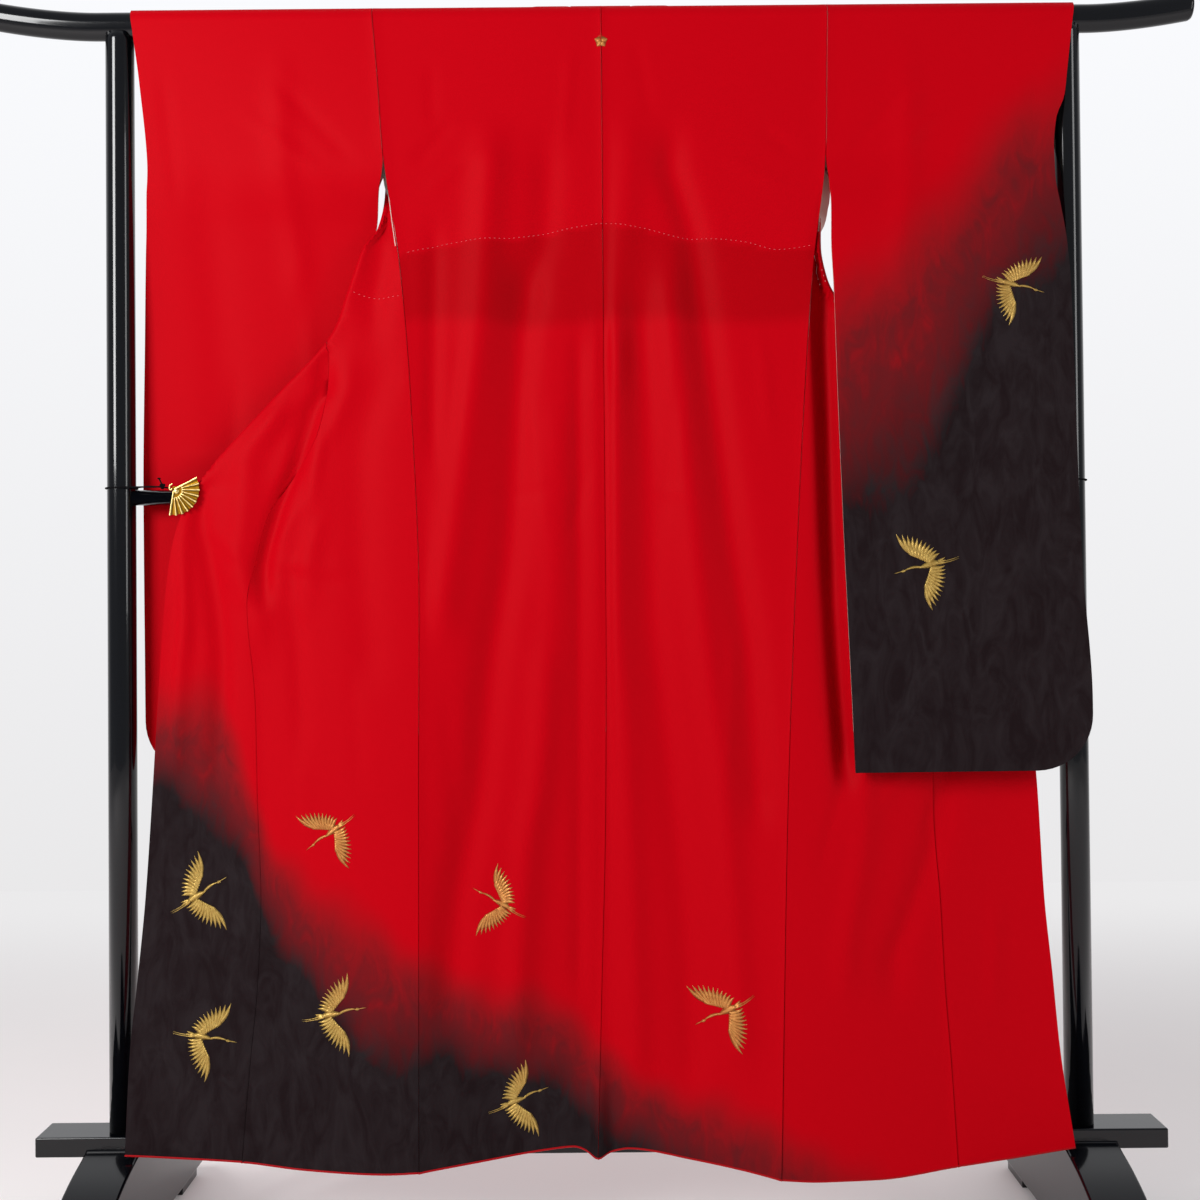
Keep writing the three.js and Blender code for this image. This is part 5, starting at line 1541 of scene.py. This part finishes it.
for side, sign in SIDES.items():
    curl = [fan_spot(sign, u, v, 2.2) for u, v in CURL]
    hub = [fan_spot(sign, 3.5, -2.5, d) for d in (0.6, 2.6, 3.3, 3.7)]
    hub_rings = [
        [(p[0] + r * math.cos(t), p[1], p[2] + r * math.sin(t)) for t in turns_of(20)]
        for p, r in zip(hub, (3.4, 3.4, 2.6, 0.8))
    ]
    solids = [fan_leaf(sign), guard(sign, FAN["first"]), guard(sign, FAN["last"])]
    solids += [tube_through(rings_along(through(curl, 22), 1.2)), tube_through(hub_rings)]
    fan = joined_solids(f"clip_fan_{side}_gilt", solids, gilt)
    fan.data.set_sharp_from_angle(angle=math.radians(40))
    belongs(fan, f"clip_fan_{side}")

    inner, outer = FAN["x"] - JAW["reach"], FAN["x"] + JAW["heel"]
    bridge = FAN["x"] - JAW["bridge"]
    front_y, far_y = FAN["y"] + 0.3, JAW["y"] + JAW["thickness"]
    outline = [(outer, front_y), (bridge, front_y), (bridge, JAW["y"])]
    outline += [(inner, JAW["y"]), (inner, far_y), (outer, far_y)]
    levels = (JAW["z"] - JAW["half_height"], JAW["z"] + JAW["half_height"])
    jaw_rings = [[(sign * x, y, z) for x, y in outline] for z in levels]
    jaw = joined_solids(f"clip_jaw_{side}_gilt", [tube_through(jaw_rings)], gilt, smooth_shaded=False)
    soften_edges(jaw, 0.5)
    belongs(jaw, f"clip_jaw_{side}")

    loop = POST["r"] + STRING["r"] + STRING["loose"]
    around = []
    for degrees in STRING_TURNS:
        angle = math.radians(degrees)
        around.append((sign * (POST["x"] - loop * math.cos(angle)), loop * math.sin(angle), STRING["z"]))
    lead = [(sign * (FAN["x"] + out), y, STRING["z"] + up) for out, y, up in STRING_LEAD]
    back_again = [(sign * (FAN["x"] + out), y, STRING["z"] + up) for out, y, up in STRING_RETURN]
    route = through([*lead, *around, *back_again], 150)
    t = np.linspace(0, 2 * math.pi, 49)[:-1]
    knot = np.stack([np.sin(t) + 2 * np.sin(2 * t), -np.sin(3 * t), np.cos(t) - 2 * np.cos(2 * t)], -1)
    knot = knot * STRING["knot"] * 0.75 + np.array([sign * (FAN["x"] + 17), -22.6, STRING["z"] + 1])
    tip = np.stack([np.cos(t) * 1.4, np.sin(t) * 1.4, 0 * t], -1) + np.array(lead[0])
    strands = [tube_through(rings_along(path, STRING["r"])) for path in (route, knot, tip)]
    string = joined_solids(f"clip_string_{side}_cord", strands, cord_finish)
    belongs(string, f"clip_string_{side}")


# ---- Floor, lights and camera ----
# A plain pale studio floor and soft lights from both sides, with a camera at eye height.
WALL_FOOT = "#E9E8E9"
FLOOR = {"half_width": 6.0, "near": -5.0, "far": 2.6, "fades_from": 0.6, "faded_at": 2.4}
floor_finish, tree, shader = new_finish("pale_paper_floor", Roughness=0.9, Specular_IOR_Level=0.1)
where = add_node(tree, "ShaderNodeTexCoord").outputs["Object"]
depth = add_node(tree, "ShaderNodeSeparateXYZ", inputs={0: where})
# The paper sweeps up into the wall behind the stand, and takes on the wall's own glow there.
sweep = add_node(
    tree,
    "ShaderNodeMapRange",
    {"interpolation_type": "SMOOTHSTEP"},
    {0: depth.outputs[1], 1: FLOOR["fades_from"], 2: FLOOR["faded_at"], 3: 0.0, 4: 1.0},
)
mottle = add_node(tree, "ShaderNodeTexNoise", inputs={"Vector": where, "Scale": 3, "Detail": 3})
paper = add_node(
    tree, "ShaderNodeMix", COLOURS, {0: mottle.outputs[0], 6: linear("#F0EAE8"), 7: linear("#EBE6E5")}
)
swept = add_node(tree, "ShaderNodeMix", COLOURS, {0: sweep.outputs[0], 6: paper.outputs[2], 7: (0, 0, 0, 1)})
tree.links.new(swept.outputs[2], shader.inputs["Base Color"])
shader.inputs["Emission Color"].default_value = linear(WALL_FOOT)
glow = add_node(tree, "ShaderNodeMapRange", inputs={0: sweep.outputs[0], 3: 0.12, 4: 1.0})
tree.links.new(glow.outputs[0], shader.inputs["Emission Strength"])
ends = ((-1, "near"), (1, "near"), (1, "far"), (-1, "far"))
corners = [(way * FLOOR["half_width"], FLOOR[end], 0) for way, end in ends]
floor = add_mesh("floor", corners, [(0, 1, 2, 3)], floor_finish)

# The studio wall behind the stand is the brightest, and the room before it is a little dimmer.
world = bpy.data.worlds.new("pale_studio")
bpy.context.scene.world = world
world.use_nodes = True
sky = world.node_tree
where = add_node(sky, "ShaderNodeTexCoord").outputs["Generated"]
bearing = add_node(sky, "ShaderNodeSeparateXYZ", inputs={0: where})
facing = add_node(sky, "ShaderNodeMapRange", inputs={0: bearing.outputs[1], 1: -0.1, 2: 0.5})
upward = add_node(sky, "ShaderNodeMapRange", inputs={0: bearing.outputs[2], 1: -0.2, 2: 0.4})
behind = add_node(
    sky, "ShaderNodeMix", COLOURS, {0: upward.outputs[0], 6: linear(WALL_FOOT), 7: linear("#FAFBFE")}
)
room = add_node(
    sky, "ShaderNodeMix", COLOURS, {0: facing.outputs[0], 6: linear("#8E9094"), 7: behind.outputs[2]}
)
sky.links.new(room.outputs[2], sky.nodes["Background"].inputs["Color"])
bpy.context.scene.view_settings.view_transform = "Standard"


def soft_box(name, place, target, size, power):
    light = bpy.data.lights.new(name, "AREA")
    light.shape = "RECTANGLE"
    light.size, light.size_y = size
    light.energy = power
    made = new_object(name, light)
    made.location = place
    made.rotation_euler = (Vector(target) - Vector(place)).to_track_quat("-Z", "Y").to_euler()


soft_box("soft_box_left", (-2.2, -2.3, 2.2), (0, 0, 1.1), (0.9, 1.6), 90)
soft_box("soft_box_right", (2.7, -2.1, 1.9), (0, 0, 0.9), (0.7, 2.0), 24)

# Place in metres, lens in mm, and the camera's tilt from straight down and roll in degrees.
CAMERA = {"place": (0.0042, -1.95, 0.8991), "lens": 40.62, "sensor": 36, "tilt": 90.76, "roll": -0.5}
camera = bpy.data.cameras.new("camera")
camera.sensor_width = CAMERA["sensor"]
camera.lens = CAMERA["lens"]
viewer = new_object("camera", camera)
tilt, roll = (Matrix.Rotation(math.radians(CAMERA[n]), 4, axis) for n, axis in (("tilt", "X"), ("roll", "Z")))
viewer.matrix_world = Matrix.Translation(CAMERA["place"]) @ (tilt @ roll)
bpy.context.scene.camera = viewer
